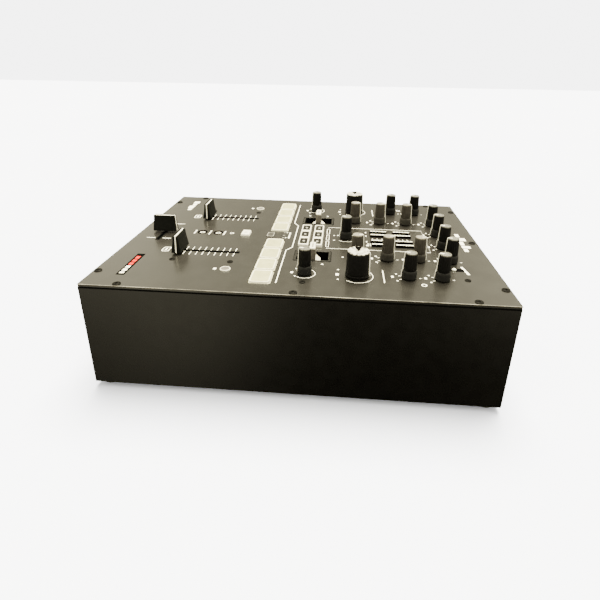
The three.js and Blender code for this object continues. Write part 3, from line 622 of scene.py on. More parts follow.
def add_knob(node, style):
    shape, grip_look, skirt_look, face_look, face_slot, angle = KNOB_STYLES[style]
    x, y = middle(node).xy

    def fluted_loft(steps):
        return loft([at(fluted(r, shape["flutes"], depth, GRIP_SIDES, x, y), z) for r, depth, z in steps])

    grip = fluted_loft(shape["grip"])
    piece_of(f"{node}_grip", grip, grip_look, node, replaces=[node], sharp=50, turn=ON_PLATE)
    shaft_end = span(node)[0].z - SURFACE
    shaft = [(2.6, shaft_end), (3.0, shaft_end + 0.4), (3.0, 1.6)]
    skirt = turned(x, y, shaft + shape["skirt"], SKIRT_SIDES)
    piece_of(f"{node}_skirt", skirt, skirt_look, node, turn=ON_PLATE)
    reach, depth, height = shape["face"]
    face = fluted_loft([(reach * share, depth * share ** 2, height + drop) for share, drop in FACE_STEPS])
    piece_of(f"{node}_face", face, face_look, node, turn=ON_PLATE)
    if style == "large":
        # a black wedge painted as the dark part of the face's reflection
        wedge = [(x + REFLECTION_WEDGE["inner"], y)] + arc(x, y, REFLECTION_WEDGE["outer"], REFLECTION_WEDGE["from"], REFLECTION_WEDGE["to"], 6)
        dark_reflection = prism(wedge, height - 0.6, height + 0.05)
        piece_of(f"{node}_notch", dark_reflection, "print_black", node, turn=ON_PLATE)
    line = strip_over(shape["line"], shape["line_width"], LINE_PROUD, LINE_DEEP)
    piece_of(f"{node}_pointer", line, "print_white", node, turn=on_plate(x, y, angle))


def add_knobs():
    add_knob("centre_select_knob", "black")
    for name in KNOB_NAMES:
        style = "grey" if name.startswith("eq_") else "large" if name == "effect_amount_knob" else "black"
        for side in SIDES:
            add_knob(f"{name}_{side}", style)


TRIM_WELL = 4.0  # radius of the hole that a trimmer stands in
TRIM_SHAFT = 1.5
TRIM_SIDES = 48
TRIM_CUT = {"arm": 0.62, "half_width": 0.55}  # the arm is a share of the head's radius
TRIM_LIP = ((-0.1, -3), (1.3, 0.05), (1.1, 0.4), (0.4, 0.5), (-0.35, 0.3), (-0.45, -3))  # from its edge


def add_trimmers():
    for end in ("front", "rear"):
        node = f"trimmer_{end}"
        low, high = span(node)
        x, y = middle(node).xy
        radius, top = (high.x - low.x) / 2, high.z
        arm, slot = radius * TRIM_CUT["arm"], TRIM_CUT["half_width"]
        rings = [(TRIM_SHAFT, low.z), (TRIM_SHAFT, top - 4), (radius, top - 4), (radius, top - 0.5),
                 (radius - 0.4, top - 0.05), (radius - 0.9, top)]
        head = loft([at(circle(r, TRIM_SIDES, x, y), z) for r, z in rings]
                    + [at(cross(arm, slot, TRIM_SIDES, x, y), top)]
                    + [at(cross(arm * 0.92, slot * 0.85, TRIM_SIDES, x, y), top - 1.4)])
        piece_of(f"{node}_head", head, "white_cap", node, replaces=[node])
        # a black fill painted inside the cross recess as its shade
        recess_shade = prism(cross(arm * 0.9, slot * 0.8, TRIM_SIDES, x, y), top - 1.3, top - 0.3)
        piece_of(f"{node}_cut", recess_shade, "print_black", node)
        lip = turned(x, y, [(TRIM_WELL + out, SURFACE + z) for out, z in TRIM_LIP], 40, joined=True)
        piece_of(f"{node}_lip", lip, "print_black")


# ---- faders

CAP_FOOT = 1.5  # underside of a cap above the plate
CAP_LINE = {"wide": 1.3, "proud": 0.12, "deep": 0.3}  # the white line over a cap's top and down its ends
CAP_STEM = (1.2, 4.0)

SLOT_HALF = 1.3
CHANNEL_SLOT = (-124, -61)  # its ends along Y
CROSS_SLOT = 27  # half its length
DUST_STRIP = {"from": 0.75, "to": 5.0, "low": -3.6, "high": -2.4}  # one on each side of the stem
# How far inside the slot's edge, corner and height of the black lining round it. The 1 mm of it that lies on
# the plate outside the slot is painted shadow.
SLOT_LINING_AND_SHADOW = ((0.0, 0.5, -2.3), (0.0, 0.5, -0.05), (-1.0, 0.5, -0.05), (-1.0, 0.5, 0.08), (0.25, 0.5, 0.08),
               (0.3, 0.5, -2.3))


def add_fader_cap(node, angle):
    """A tapered cap with hollow long sides and a dished top, on a flat stem."""
    low, high = span(node)
    rise = high.z - SURFACE - CAP_FOOT
    long, short = sorted((high.x - low.x, high.y - low.y), reverse=True)
    # Each step is how far the ends and the sides have come in, the height from the foot and the corner.
    steps = [
        (0.4, 0.4, 0.0, 0.4),
        (0.0, 0.0, 0.45, 0.7),
        (0.15, 0.45, rise * 0.2, 0.7),
        (0.5, 1.35, rise * 0.5, 0.7),
        (0.8, 1.9, rise * 0.75, 0.7),
        (1.0, 2.1, rise - 0.9, 0.7),
        (1.1, 2.2, rise - 0.4, 0.65),
        (1.35, 2.4, rise - 0.1, 0.5),
        (1.6, 2.6, rise - 0.1, 0.4),
        (2.1, 3.0, rise - 0.5, 0.3),
    ]
    body = loft([at(rounded(long - 2 * end, short - 2 * side, corner), CAP_FOOT + z)
                 for end, side, z, corner in steps])
    thick, wide = CAP_STEM
    box(-thick / 2, thick / 2, -wide / 2, wide / 2, low.z - SURFACE, CAP_FOOT + 1, body)
    place = on_plate(*middle(node).xy, angle)
    piece_of(f"{node}_body", body, "fader_cap", node, replaces=[node], turn=place)
    one_end = [(end + 0.02 - long / 2, CAP_FOOT + z) for end, _, z, _ in steps[1:]]
    over = one_end + [(-x, z) for x, z in reversed(one_end)]
    line = strip_over(over, CAP_LINE["wide"], CAP_LINE["proud"], CAP_LINE["deep"])
    piece_of(f"{node}_line", line, "print_white", node, sharp=50, turn=place)


def add_fader_slot(name, place, half_length):
    """Dust strips under a slot, and a black lining round its edge that reaches onto the plate as painted
    shadow.
    """
    strips = bmesh.new()
    reach = half_length + 3
    for sign in SIDES.values():
        near, far = sorted((sign * DUST_STRIP["from"], sign * DUST_STRIP["to"]))
        box(-reach, reach, near, far, DUST_STRIP["low"], DUST_STRIP["high"], strips)
    piece_of(f"{name}_dust_strips", strips, "print_black", turn=place)
    lining_and_shadow = stepped(0, 0, (2 * half_length, 2 * SLOT_HALF), SLOT_LINING_AND_SHADOW, joined=True)
    piece_of(f"{name}_slot_lining_and_shadow", lining_and_shadow, "print_black", turn=place)


def add_faders():
    front, rear = CHANNEL_SLOT
    for side in SIDES:
        node = f"channel_fader_cap_{side}"
        add_fader_cap(node, 0)
        place = on_plate(middle(node).x, (front + rear) / 2, 90)
        add_fader_slot(f"channel_{side}", place, (rear - front) / 2)
    add_fader_cap("crossfader_cap", 90)
    add_fader_slot("crossfader", on_plate(0, middle("crossfader_cap").y), CROSS_SLOT)


# ---- push controls

FLANGE_LOW, FLANGE_HIGH = 98.7, 100.2  # faces of the flange under each cap
FLANGE_REACH = 1.2
LENGTHWAYS = (0, FLANGE_REACH)  # a flange that reaches out only along Y
ALL_ROUND = (FLANGE_REACH, FLANGE_REACH)
PUSH_STEM = 4.0
ROUND_STEM = 2.2

# Inset and height from the cap's top, and for a face its corner between them
PAD_CROWN = ((0.0, -2.0), (0.55, -1.4), (0.65, -0.7), (0.75, -0.35), (0.95, -0.1), (1.2, 0.0), (1.5, -0.06),
             (1.8, -0.25), (2.3, -0.3))
PAD_FACE = ((1.9, 2.0, -0.5), (1.9, 2.0, -0.24), (2.4, 2.0, -0.16), (4.5, 2.0, -0.08), (7.0, 2.0, -0.06))
EFFECT_CROWN = ((0.0, -0.5), (0.12, -0.2), (0.4, 0.0))
TAP_CROWN = ((0.5, -0.4), (0.8, -0.1), (1.2, 0.0), (2.2, -0.05), (2.6, -0.2))
MODE_CROWN = ((0.0, -0.35), (0.1, -0.12), (0.3, 0.0))
WINDOW_HOLE = (15.2, 7.9, 0.5)  # in each effect button: width, depth and corner
WINDOW_SUNK = 0.7
WINDOW_PANE = (15.1, 7.8, 0.45)
# the pale blob painted in the middle of each window as its reflection: width, depth and corner
WINDOW_HIGHLIGHT = (3.4, 2.2, 0.8)
CUE_DROP = 0.7  # from the top of the CAD node to the top of a cue button's rim
CUE_SIDES = 40


def cap_size(node, flange):
    """Width and depth of a cap, whose flange reaches further by two lengths along X and Y."""
    low, high = span(node)
    return high.x - low.x - 2 * flange[0], high.y - low.y - 2 * flange[1]


def pressed_cap(node, flange, corner, crown, sunk=()):
    """One closed shape: stem, flange under the plate, crown, and any rings that are sunk in its top."""
    x, y = middle(node).xy
    low, high = span(node)
    width, depth = cap_size(node, flange)
    stem = rounded(PUSH_STEM, PUSH_STEM, 0.3, x, y)
    whole = rounded(high.x - low.x, high.y - low.y, corner, x, y)
    cap = rounded(width, depth, corner, x, y)
    rings = [at(stem, low.z), at(stem, FLANGE_LOW), at(whole, FLANGE_LOW), at(whole, FLANGE_HIGH),
             at(cap, FLANGE_HIGH)]
    for inset, drop in crown:
        round_off = max(corner - inset, 0.25)
        rings.append(at(rounded(width - 2 * inset, depth - 2 * inset, round_off, x, y), high.z + drop))
    return loft(rings + list(sunk))


def add_pads():
    for side in SIDES:
        for number in range(1, 5):
            node = f"pad_{side}_{number}"
            cap = pressed_cap(node, LENGTHWAYS, 3.6, PAD_CROWN)
            piece_of(f"{node}_cap", cap, "pad_silicone", node, replaces=[node])
            face = stepped(0, 0, cap_size(node, LENGTHWAYS), PAD_FACE)
            piece_of(f"{node}_face", face, "pad_face", node, turn=on_top(node))


def add_effect_buttons():
    for row in ("front", "rear"):
        for column in ("left", "middle", "right"):
            node = f"effect_button_{row}_{column}"
            top = span(node)[1].z
            hole = rounded(*WINDOW_HOLE, *middle(node).xy)
            sunk = [at(hole, top), at(hole, top - WINDOW_SUNK)]
            cap = pressed_cap(node, LENGTHWAYS, 0.9, EFFECT_CROWN, sunk)
            piece_of(f"{node}_frame", cap, "white_cap", node, replaces=[node])
            window = prism(rounded(*WINDOW_PANE), -0.65, -0.14)
            piece_of(f"{node}_window", window, "dark_window", node, turn=on_top(node))
            # a pale blob painted on the window as its reflection
            window_highlight = prism(rounded(*WINDOW_HIGHLIGHT), -0.2, -0.08)
            piece_of(f"{node}_icon", window_highlight, "print_grey", node, turn=on_top(node))


def add_tap_button():
    node = "tap_button"
    plate = SURFACE - span(node)[1].z
    cap = pressed_cap(node, ALL_ROUND, 1.4, ((0.0, plate + 0.1), (0.2, plate + 0.9)) + TAP_CROWN)
    piece_of(f"{node}_cap", cap, "white_cap", node, replaces=[node])
    ring = ribbon(circle(1.5), 0.5, -0.25, -0.12, closed=True)
    piece_of(f"{node}_ring", ring, "print_grey", node, turn=on_top(node))


def add_mode_button():
    node = "mode_button"
    cap = pressed_cap(node, ALL_ROUND, 0.8, MODE_CROWN)
    piece_of(f"{node}_cap", cap, "grey_skirt", node, replaces=[node])
    width, depth = cap_size(node, ALL_ROUND)
    mark = ribbon(rounded(width - 1.5, depth - 1.5, 0.6), 0.7, -0.05, 0.04, closed=True)
    piece_of(f"{node}_mark", mark, "print_grey", node, turn=on_top(node))


def add_cue_buttons():
    for side in SIDES:
        node = f"cue_button_{side}"
        low, high = span(node)
        x, y = middle(node).xy
        top = high.z - CUE_DROP
        whole = (high.x - low.x) / 2
        radius = whole - FLANGE_REACH
        profile = [(ROUND_STEM, low.z), (ROUND_STEM, FLANGE_LOW), (whole, FLANGE_LOW), (whole, FLANGE_HIGH),
                   (radius, FLANGE_HIGH), (radius, top - 0.6), (radius - 0.12, top - 0.2),
                   (radius - 0.35, top), (radius - 0.6, top), (radius - 0.9, top - 0.25),
                   (radius * 0.3, top - 0.4)]
        piece_of(f"{node}_cap", turned(x, y, profile, CUE_SIDES), "white_cap", node, replaces=[node])
        profile = [(radius - 0.8, top - 0.6), (radius - 0.8, top - 0.14), (radius - 1.2, top - 0.06),
                   (0.6, top - 0.2)]
        piece_of(f"{node}_face", turned(x, y, profile, CUE_SIDES), "paddle_grey", node)


# ---- effect paddles

PADDLE_THICK = 6.0
PADDLE_PIVOT = SURFACE - 10
PADDLE_OPENING = {"x": 51.5, "y": 10.6, "width": 20.6, "depth": 30.4}
TIP_HEIGHT = 1.7
# Inset, corner and height from the top of the pale tip
TIP_STEPS = ((0.3, 0.5, -1.7), (0.0, 0.7, -1.55), (0.05, 0.7, -0.8), (0.35, 0.6, -0.3), (0.9, 0.5, 0.0),
             (1.3, 0.4, 0.0), (1.7, 0.3, -0.45))
ROOF_SHARE = 0.76  # of the room that a paddle has to tilt in
ROOF_RIDGE, ROOF_EAVES, ROOF_FOOT = -1.6, -5.2, -6.0  # heights from the plate
ROOF_EDGE = 0.35
WELL_DEPTH = 16.3
WELL_WALL = 0.5
BEZEL_WIDE = 2.1
# How far outside the opening, corner and height of the frame round it
BEZEL_STEPS = ((2.1, 2.6, -0.1), (2.1, 2.6, 0.25), (1.9, 2.4, 0.45), (0.3, 0.8, 0.45), (0.05, 0.55, 0.25),
               (0.05, 0.55, -0.1))


def add_lever(node):
    low, high = span(node)
    x, y = middle(node).xy
    width = high.x - low.x
    steps = [(0.2, PADDLE_PIVOT - 1), (0.0, PADDLE_PIVOT), (0.0, SURFACE + 1), (0.25, high.z - TIP_HEIGHT)]
    lever = stepped(x, y, (width, PADDLE_THICK), [(inset, 0.6, z) for inset, z in steps])
    piece_of(f"{node}_lever", lever, "paddle_grey", node, [node])
    tip = stepped(0, 0, (width - 0.4, PADDLE_THICK - 0.4), TIP_STEPS)
    piece_of(f"{node}_tip", tip, "white_cap", node, turn=on_top(node))
    inlay = prism(rounded(width - 5.8, PADDLE_THICK - 4.4, 0.6), -0.6, -0.36)
    piece_of(f"{node}_tip_inlay", inlay, "print_grey", node, turn=on_top(node))


def add_roof(node):
    """A roof on the lever, with its ridge along X, and the pivot's barrel under it."""
    low, high = span(node)
    x, y = middle(node).xy
    half = (high.y - low.y) / 2 * ROOF_SHARE
    ridge = PADDLE_THICK / 2 + 0.1
    section = [(-half, ROOF_FOOT), (half, ROOF_FOOT), (half, ROOF_EAVES), (ridge, ROOF_RIDGE),
               (-ridge, ROOF_RIDGE), (-half, ROOF_EAVES)]
    ends = [(low.x, ROOF_EDGE), (low.x + ROOF_EDGE, 0.0), (high.x - ROOF_EDGE, 0.0), (high.x, ROOF_EDGE)]
    roof = loft([[(end, y + along * (1 - inset / half), SURFACE + z - inset * 0.4) for along, z in section]
                 for end, inset in ends])
    piece_of(f"{node}_roof", roof, "white_cap", node)
    half = (high.x - low.x) / 2
    barrel = turned(0, 0, [(1.5, 0.2 - half), (2.5, 0.6 - half), (2.5, half - 0.6), (1.5, half - 0.2)], 28)
    place = facing(x, y, PADDLE_PIVOT, (1, 0, 0))
    piece_of(f"{node}_barrel", barrel, "bracket_steel", node, turn=place)


def add_paddle_frame(node, sign):
    """The dark well that a paddle stands in, the painted frame round its opening, and a black line painted
    round the frame as its shadow.
    """
    x, y = sign * PADDLE_OPENING["x"], PADDLE_OPENING["y"]
    width, depth = PADDLE_OPENING["width"], PADDLE_OPENING["depth"]
    steps = [(0.0, 0.6, -WELL_DEPTH), (0.0, 0.6, 0.1), (WELL_WALL, 0.4, 0.1),
             (WELL_WALL, 0.4, 0.5 - WELL_DEPTH)]
    well = stepped(x, y, (width, depth), steps)
    piece_of(f"{node}_well", well, "print_black", turn=ON_PLATE)
    steps = [(-out, corner, z) for out, corner, z in BEZEL_STEPS]
    bezel = stepped(x, y, (width, depth), steps, joined=True)
    piece_of(f"{node}_bezel", bezel, "bezel_paint", turn=ON_PLATE)
    # a black line painted round the outside of the frame as its shadow
    grow = 2 * BEZEL_WIDE + 0.5
    shadow_line = ribbon(rounded(width + grow, depth + grow, 1.5, x, y), 0.6, *PRINT, closed=True)
    piece_of(f"{node}_bezel_shadow", shadow_line, "print_black", turn=ON_PLATE)


def add_paddles():
    for side, sign in SIDES.items():
        node = f"effect_paddle_{side}"
        add_lever(node)
        add_roof(node)
        add_paddle_frame(node, sign)


# ---- level meters

METER_COLUMNS = (-18.9, -8.4, 8.4, 18.9)
METER_ROWS = (77.0, 101.5)
METER_CASE = (5.3, 18.3)
METER_LIGHTS = 6
METER_PITCH = (METER_CASE[1] - 0.9) / METER_LIGHTS
METER_LIGHT = (2.2, METER_PITCH - 0.35)
# Inset, corner and height of a case and of a light
CASE_STEPS = ((0.0, 0.4, -3.0), (0.0, 0.4, 1.9), (0.2, 0.4, 2.1))
LIGHT_STEPS = ((0.0, 0.3, 1.8), (0.0, 0.3, 2.18), (0.15, 0.3, 2.25))


def add_meters():
    cases, lights = bmesh.new(), bmesh.new()
    for x in METER_COLUMNS:
        for y in METER_ROWS:
            stepped(x, y, METER_CASE, CASE_STEPS, onto=cases)
            for number in range(METER_LIGHTS):
                along = (number + 0.5 - METER_LIGHTS / 2) * METER_PITCH
                stepped(x, y + along, METER_LIGHT, LIGHT_STEPS, onto=lights)
    piece_of("meter_cases", cases, "print_black", turn=ON_PLATE)
    piece_of("meter_lights", lights, "light_lens", turn=ON_PLATE)


# ---- printed marks

LABEL_SEED = 11


class Marks:
    """Printed marks of one colour, gathered into one piece; raised is how far they stand on another mark."""

    def __init__(self, raised=0.0):
        self.bm = bmesh.new()
        self.heights = [z + raised for z in PRINT]

    def line(self, points, width, closed=False):
        ribbon(points, width, *self.heights, closed, self.bm)

    def bar(self, x, y, width, depth):
        """A plain block, as wide along X and deep along Y as asked."""
        self.line([(x - width / 2, y), (x + width / 2, y)], depth)

    def dot(self, x, y, radius):
        prism(circle(radius, 14, x, y), *self.heights, self.bm)

    def words(self, x0, x1, y, height, letters):
        """Plain blocks of uneven length along X that stand where a printed word would be."""
        cursor = x0
        while cursor < x1 - 0.8:
            length = min(letters.uniform(1.6, 4.2), x1 - cursor)
            self.bar(cursor + length / 2, y, length, height)
            cursor += length + letters.uniform(0.7, 1.1)

    def piece(self, name, material, slot=None):
        piece_of(name, self.bm, material, turn=ON_PLATE)


FINE, BOLD = 0.5, 0.8  # widths of printed lines
ARC_ENDS = (-42, 222)  # degrees from +X
CHANNEL_TICKS = {"count": 10, "first": -119, "pitch": 6.05, "from": 2.4, "to": 9.5}
CHANNEL_LABEL = (51, -132.5)
KNOB_ARCS = ((91, 6.1, 9.4), (91, 51.9, 13.7))  # x, y and radius on the right side
SCALED_KNOBS = ((52.5, 80.7), (52, 110), (90.5, 96.3), (90.5, 124.6), (52, 139.5), (17.3, 139.5))
# The marks on both sides, as they stand on the right one: x, y, width and depth, or x, y and radius
PAIRED_BARS = ((90, -74, 3.2, 2.6), (90, -5.2, 3.4, 2.2), (90, 34.6, 4.0, 2.6), (46, 71.3, 3.0, 0.8),
               (60.2, 71.3, 3.0, 0.8))
PAIRED_DOTS = ((97, -1.8, 0.9), (82, -1.8, 0.9), (80, 35.3, 0.9), (99.5, 35.3, 0.9), (51.6, 39.3, 1.0),
               (70, -0.6, 1.1), (70, 20.6, 1.1))
RING = (103, 107.4)
CENTRE_DOTS = ((-6.2, 29.8), (-6.2, 33.9), (8.0, 30.0))
DIVIDER = ((111.9, -16.3), (40.8, -16.3), (32.1, -11.1))  # parts the effects from the pads
METER_FRAME = {"x": 31, "front": 22.6, "rear": 125}
METER_TICKS = (70, 75, 80, 92.5, 97, 101.5, 106)
CROSS_TICKS = {"xs": (-22.5, 22.5), "ys": ((-164, -155.3), (-147.4, -138.6))}
CROSS_WORDS = (-119.4, -103.2, -87.6)
STICKER = (88, -151.2, 46, 7.5)
STICKER_RED = ((74, 6), (81.2, 5), (88, 5))  # x and width
STICKER_WHITE = ((94.8, 4.2), (101, 4.6), (106.6, 2.8))
CORNER_BLOCKS = ((-107, -151, 8, 7), (-97.5, -151, 8, 4.5), (-87, -152, 10, 6.5), (-77.5, -151, 6, 4.5))
REAR_BLOCKS = ((-21, 161.5, 9, 4), (-9.5, 163.5, 8, 8.5), (2, 161.5, 10, 4), (12, 163.5, 6, 8.5),
               (20.5, 161.5, 7, 4))
POWER_WINDOW = (69.5, 141.6)
POWER_LABEL = ((62, 147), (78.3, 150))


def channel_marks(white, sign):
    """Cross ticks along a channel fader, and the pill in front of them."""
    x = sign * 51.5
    near, far = CHANNEL_TICKS["from"], CHANNEL_TICKS["to"]
    for tick in range(CHANNEL_TICKS["count"]):
        y = CHANNEL_TICKS["first"] + CHANNEL_TICKS["pitch"] * tick
        for reach in ((-far, -near), (near, far)):
            white.line([(x + across, y) for across in reach], 0.58)
    x, y = sign * CHANNEL_LABEL[0], CHANNEL_LABEL[1]
    white.line(rounded(10, 6.5, 1.6, x, y), BOLD, closed=True)
    white.bar(x, y, 6.2, 1.6)


def knob_scale(white, x, y):
    """Two end dots, two ticks, a middle tick and a heading round a knob."""
    white.bar(x - 1, y - 14, 3.4, 2.0)
    white.bar(x, y + 9.8, 0.6, 1.7)
    for across in (-7, 6.4):
        white.dot(x + across, y - 10.3, 0.9)
    for across in (-3.4, 3.4):
        white.bar(x + across, y - 7.6, 0.7, 1.8)


def side_marks(white, black, sign):
    channel_marks(white, sign)
    for x, y, radius in KNOB_ARCS:
        white.line(arc(sign * x, y, radius, *ARC_ENDS, 40), FINE)
    for x, y in SCALED_KNOBS:
        knob_scale(white, sign * x, y)
    for x, *rest in PAIRED_BARS:
        white.bar(sign * x, *rest)
    for x, *rest in PAIRED_DOTS:
        white.dot(sign * x, *rest)
    white.line([(sign * 77.4, 74.7), (sign * 102, 74.7)], BOLD)
    x, y = sign * RING[0], RING[1]
    white.line(circle(2.0, 28, x, y), BOLD, closed=True)
    black.dot(x, y, 1.3)
    white.line([(sign * METER_FRAME["x"], METER_FRAME[end]) for end in ("front", "rear")], FINE)


def centre_marks(white, grey, black, letters):
    white.line(arc(0, 42.3, 10.8, *ARC_ENDS, 36), FINE)
    for x, y in CENTRE_DOTS:
        white.dot(x, y, 0.9)
    for x in (-17.5, 1, 19.5):
        white.line(rounded(15.5, 2.8, 1.0, x, 23.3), FINE, closed=True)
    white.line([*DIVIDER, *((-x, y) for x, y in reversed(DIVIDER))], BOLD)
    white.words(-9, 8, -17.6, 1.5, letters)
    for x in (-8, 0, 7):
        grey.dot(x, -23.5, 0.8)
        black.dot(x, -26.2, 0.5)


def scale_marks(white, grey, letters):
    """The meters' scale and frame, and the crossfader's end ticks and words."""
    for y in METER_TICKS:
        white.bar(0, y, 2.6, 0.7)
    for x in METER_COLUMNS:
        white.bar(x, 63.6, 2.8, 1.2)
    grey.line([(sign * METER_FRAME["x"], METER_FRAME["rear"]) for sign in (1, -1)], FINE)
    for x in CROSS_TICKS["xs"]:
        for ends in CROSS_TICKS["ys"]:
            white.line([(x, y) for y in ends], 0.9)
    for y in CROSS_WORDS:
        white.words(-5, 6, y, 1.5, letters)
    white.line(circle(1.7, 24, 0, -79.6), 0.7, closed=True)


def plain_blocks(white, black):
    """Blocks at the front corner and the rear, the black strip, and the power lamp's window and label."""
    for block in CORNER_BLOCKS + REAR_BLOCKS:
        white.bar(*block)
    black.bar(*STICKER)
    prism(rounded(6.4, 13.0, 3.0, *POWER_WINDOW), *black.heights, black.bm)
    white.line(POWER_LABEL, 2.2)


def add_marks():
    white, grey, black = Marks(), Marks(), Marks()
    red, white_on_black = Marks(PRINT[1]), Marks(PRINT[1])
    letters = random.Random(LABEL_SEED)
    for sign in SIDES.values():
        side_marks(white, black, sign)
        white.words(13.5, 20.5, sign * 1.1 + 66, 0.9, letters)
    centre_marks(white, grey, black, letters)
    scale_marks(white, grey, letters)
    plain_blocks(white, black)
    for marks, blocks in ((red, STICKER_RED), (white_on_black, STICKER_WHITE)):
        for x, width in blocks:
            marks.bar(x, STICKER[1], width, 3.8)
    white.piece("marks_white", "print_white")
    grey.piece("marks_grey", "print_grey", "print_white")
    black.piece("marks_black", "print_black", "screw_black")
    red.piece("marks_red", "print_red")
    white_on_black.piece("marks_on_black", "print_white")


def add_lamps():
    power = [(1.9, -0.1), (1.9, 0.5), (1.7, 1.0), (1.2, 1.5), (0.5, 1.75)]
    bm = turned(POWER_WINDOW[0], 139, power, 24)
    for x in (-8, 7):
        turned(x, -20.8, [(0.8, -0.1), (0.8, 0.2), (0.4, 0.4)], 14, onto=bm)
    piece_of("lamps", bm, "light_lens", turn=ON_PLATE)


# ---- sockets

BACKWARD, FORWARD = (0, 1, 0), (0, -1, 0)
RCA_XS, RCA_ZS = (8, 26, 44, 62), (72, 50)
TRS_XS, TRS_Z = (-38, -16), 38
USB_XS, USB_Z = (-38, -16), 74
XLR_X, XLR_ZS = 94, (72, 34)
XLR_SCREWS = ((-10, 12.4), (10, -12.4))  # from a main output's middle
XLR_SCREW_RADIUS = 1.7
XLR_PIN_CIRCLE = 5.2
LARGE_NUT, SMALL_NUT = (4.55, 6.65, 3.3), (3.05, 4.25, 1.85)  # radius of the bushing, the nut and the bore
PHONES = ((-104, LARGE_NUT), (-82, SMALL_NUT))
PHONES_Z = 58
INLET = (-100, 56)
INLET_BLADES = ((-6, -1.6), (0, 2.4), (6, -1.6))  # from the inlet's middle
GROUND_POST = (35, 28)

INLET_BLADE = (4.2, 1.6, 0.3)  # width, depth and corner
DATA_TONGUE = (5.0, 3.0, 0.3)
DATA_LINING = ((8.5, 7.9, 0.6), (7.9, 7.3, 0.5))  # its outer and its inner outline

# Radius and distance from the panel
SLEEVE = ((4.2, 0.6), (4.2, 5.9), (3.95, 6.5), (3.45, 6.5), (3.3, 6.3), (3.3, 0.6))
COLOUR_RING = ((4.25, 0.45), (6.3, 0.45), (6.3, 0.95), (6.05, 1.2), (4.5, 1.2), (4.25, 1.0))
XLR_PIN = ((1.2, -13), (1.2, -3.2), (0.9, -2.4), (0.4, -2.2))
XLR_LINING = ((9.55, -12.8), (9.55, 1.9), (9.1, 1.9), (9.1, -12.8))
POST_HEAD = ((3.95, 1.3), (4.5, 1.7), (4.5, 5.8), (4.05, 6.4), (2.25, 6.45), (1.65, 6.1))

# Plain blocks where labels would be: x, height and width
REAR_LABELS = [*((x, USB_Z + 9, 10) for x in USB_XS), *((x, TRS_Z - 10, 10) for x in TRS_XS),
               *((x, RCA_ZS[0] + 10.5, 12) for x in RCA_XS), (GROUND_POST[0] + 14, GROUND_POST[1], 12),
               (XLR_X, 53, 16), (-84, 78, 30)]
FRONT_LABELS = [(PHONES[0][0], PHONES_Z + 11, 12), (PHONES[1][0], PHONES_Z + 11, 8)]


def on_rear(x, z):
    return facing(x, REAR, z, BACKWARD)


def hex_nut(bushing, nut, bore):
    sides = 36
    flats = []
    for i in range(sides):
        angle = 2 * math.pi * i / sides
        from_flat = (angle + math.pi / 6) % (math.pi / 3) - math.pi / 6
        reach = nut * math.cos(math.pi / 6) / math.cos(from_flat)
        flats.append((reach * math.cos(angle), reach * math.sin(angle)))
    eased = [(x * 0.94, y * 0.94) for x, y in flats]
    inside = [(bushing, 2.55), (bushing, 2.9), (bushing - 0.3, 3.15), (bore + 0.25, 3.15), (bore, 2.9),
              (bore, 0.25)]
    outside = [at(flats, 0.25), at(flats, 2.1), at(eased, 2.55)]
    return loft(outside + [at(circle(radius, sides), z) for radius, z in inside], joined=True)


def add_jack_nuts():
    nuts = bmesh.new()
    for x in TRS_XS:
        add_to(nuts, hex_nut(*LARGE_NUT), on_rear(x, TRS_Z))
    for x, radii in PHONES:
        add_to(nuts, hex_nut(*radii), facing(x, FRONT, PHONES_Z, FORWARD))
    piece_of("jack_nuts", nuts, "nut_chrome")


def add_phono_sockets():
    sleeves, white, red = bmesh.new(), bmesh.new(), bmesh.new()
    for x in RCA_XS:
        for z, rings in zip(RCA_ZS, (white, red)):
            add_to(sleeves, turned(0, 0, SLEEVE, joined=True), on_rear(x, z))
            add_to(rings, turned(0, 0, COLOUR_RING, 36, joined=True), on_rear(x, z))
    piece_of("phono_sleeves", sleeves, "nut_chrome")
    piece_of("phono_rings_white", white, "print_white")
    piece_of("phono_rings_red", red, "socket_red")


def add_contacts():
    """The pins in the main outputs and the blades in the mains inlet."""
    contacts = bmesh.new()
    for z in XLR_ZS:
        for x, y in arc(0, 0, XLR_PIN_CIRCLE, 90, 330, 2):
            add_to(contacts, turned(x, y, XLR_PIN, 16), on_rear(XLR_X, z))
    for across, up in INLET_BLADES:
        blade = prism(rounded(*INLET_BLADE), -13.5, -3.5)
        add_to(contacts, blade, on_rear(INLET[0] + across, INLET[1] + up))
    piece_of("socket_contacts", contacts, "contact_metal")


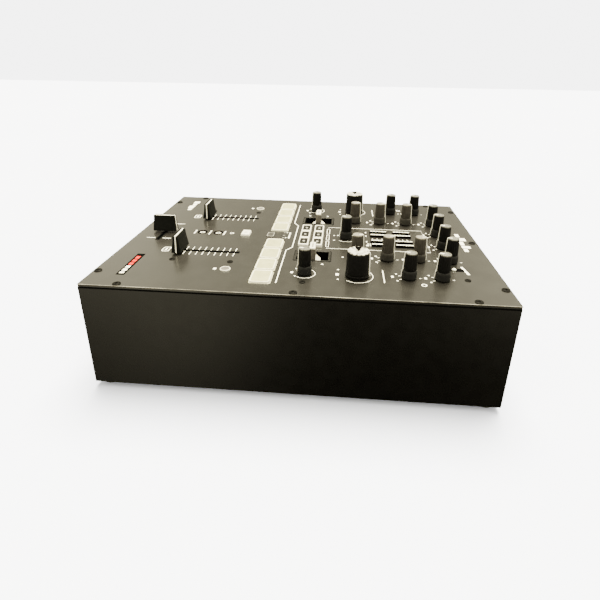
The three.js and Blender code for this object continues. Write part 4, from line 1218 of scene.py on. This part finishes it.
def add_linings():
    """Linings of the main outputs and data ports, the outputs' screws, and the ground post's head."""
    linings = bmesh.new()
    for z in XLR_ZS:
        add_to(linings, turned(0, 0, XLR_LINING, 40, joined=True), on_rear(XLR_X, z))
        for across, up in XLR_SCREWS:
            place = facing(XLR_X + across, REAR + 2, z + up, BACKWARD)
            add_to(linings, screw(0, 0, XLR_SCREW_RADIUS), place)
    outer, inner = (rounded(*outline) for outline in DATA_LINING)
    for x in USB_XS:
        walls = [at(outer, -11.5), at(outer, 0.05), at(inner, 0.05), at(inner, -11.5)]
        add_to(linings, loft(walls, joined=True), on_rear(x, USB_Z))
    post = loft([at(fluted(radius, 24, 0.25, 120), z) for radius, z in POST_HEAD])
    add_to(linings, post, on_rear(*GROUND_POST))
    piece_of("socket_linings", linings, "nut_chrome")


def add_sockets():
    refined("rear_jacks", "socket_plastic", 0.12)
    refined("headphone_jacks", "socket_plastic", 0.12)
    refined("power_inlet", "socket_plastic", 0.3)
    refined("power_switch", "socket_plastic", 0.35, body="power_switch")
    add_jack_nuts()
    add_phono_sockets()
    add_contacts()
    add_linings()
    tongues = bmesh.new()
    for x in USB_XS:
        add_to(tongues, prism(rounded(*DATA_TONGUE), -11.9, -2.2), on_rear(x, USB_Z))
    piece_of("data_port_tongues", tongues, "print_white")


def add_panel_marks():
    letters = random.Random(LABEL_SEED + 1)
    bm = bmesh.new()
    for labels, y, outward in ((REAR_LABELS, REAR, BACKWARD), (FRONT_LABELS, FRONT, FORWARD)):
        for x, z, width in labels:
            cursor, end = x - width / 2, x + width / 2
            while cursor < end - 0.8:
                length = min(letters.uniform(1.6, 3.8), end - cursor)
                block = box(-length / 2, length / 2, -0.7, 0.7, *PRINT)
                add_to(bm, block, facing(cursor + length / 2, y, z, outward))
                cursor += length + 0.9
    piece_of("panel_marks", bm, "print_white")


# ---- what stays as packed

INNER_LOOKS = {"control_board": "circuit_board", "main_board": "circuit_board",
               "power_supply": "circuit_board", "fader_carrier": "bracket_steel"}


def paint_inner_nodes():
    for node, material in INNER_LOOKS.items():
        mesh = NODES[node].data
        mesh.materials.clear()
        mesh.materials.append(MATERIALS[material])


add_camera()
add_lights()
add_sky()
add_floor()
add_casing()
add_long_edges()
add_plate_screws()
add_case_screws()
add_knobs()
add_trimmers()
add_faders()
add_pads()
add_effect_buttons()
add_tap_button()
add_mode_button()
add_cue_buttons()
add_paddles()
add_meters()
add_marks()
add_lamps()
add_sockets()
add_panel_marks()
paint_inner_nodes()
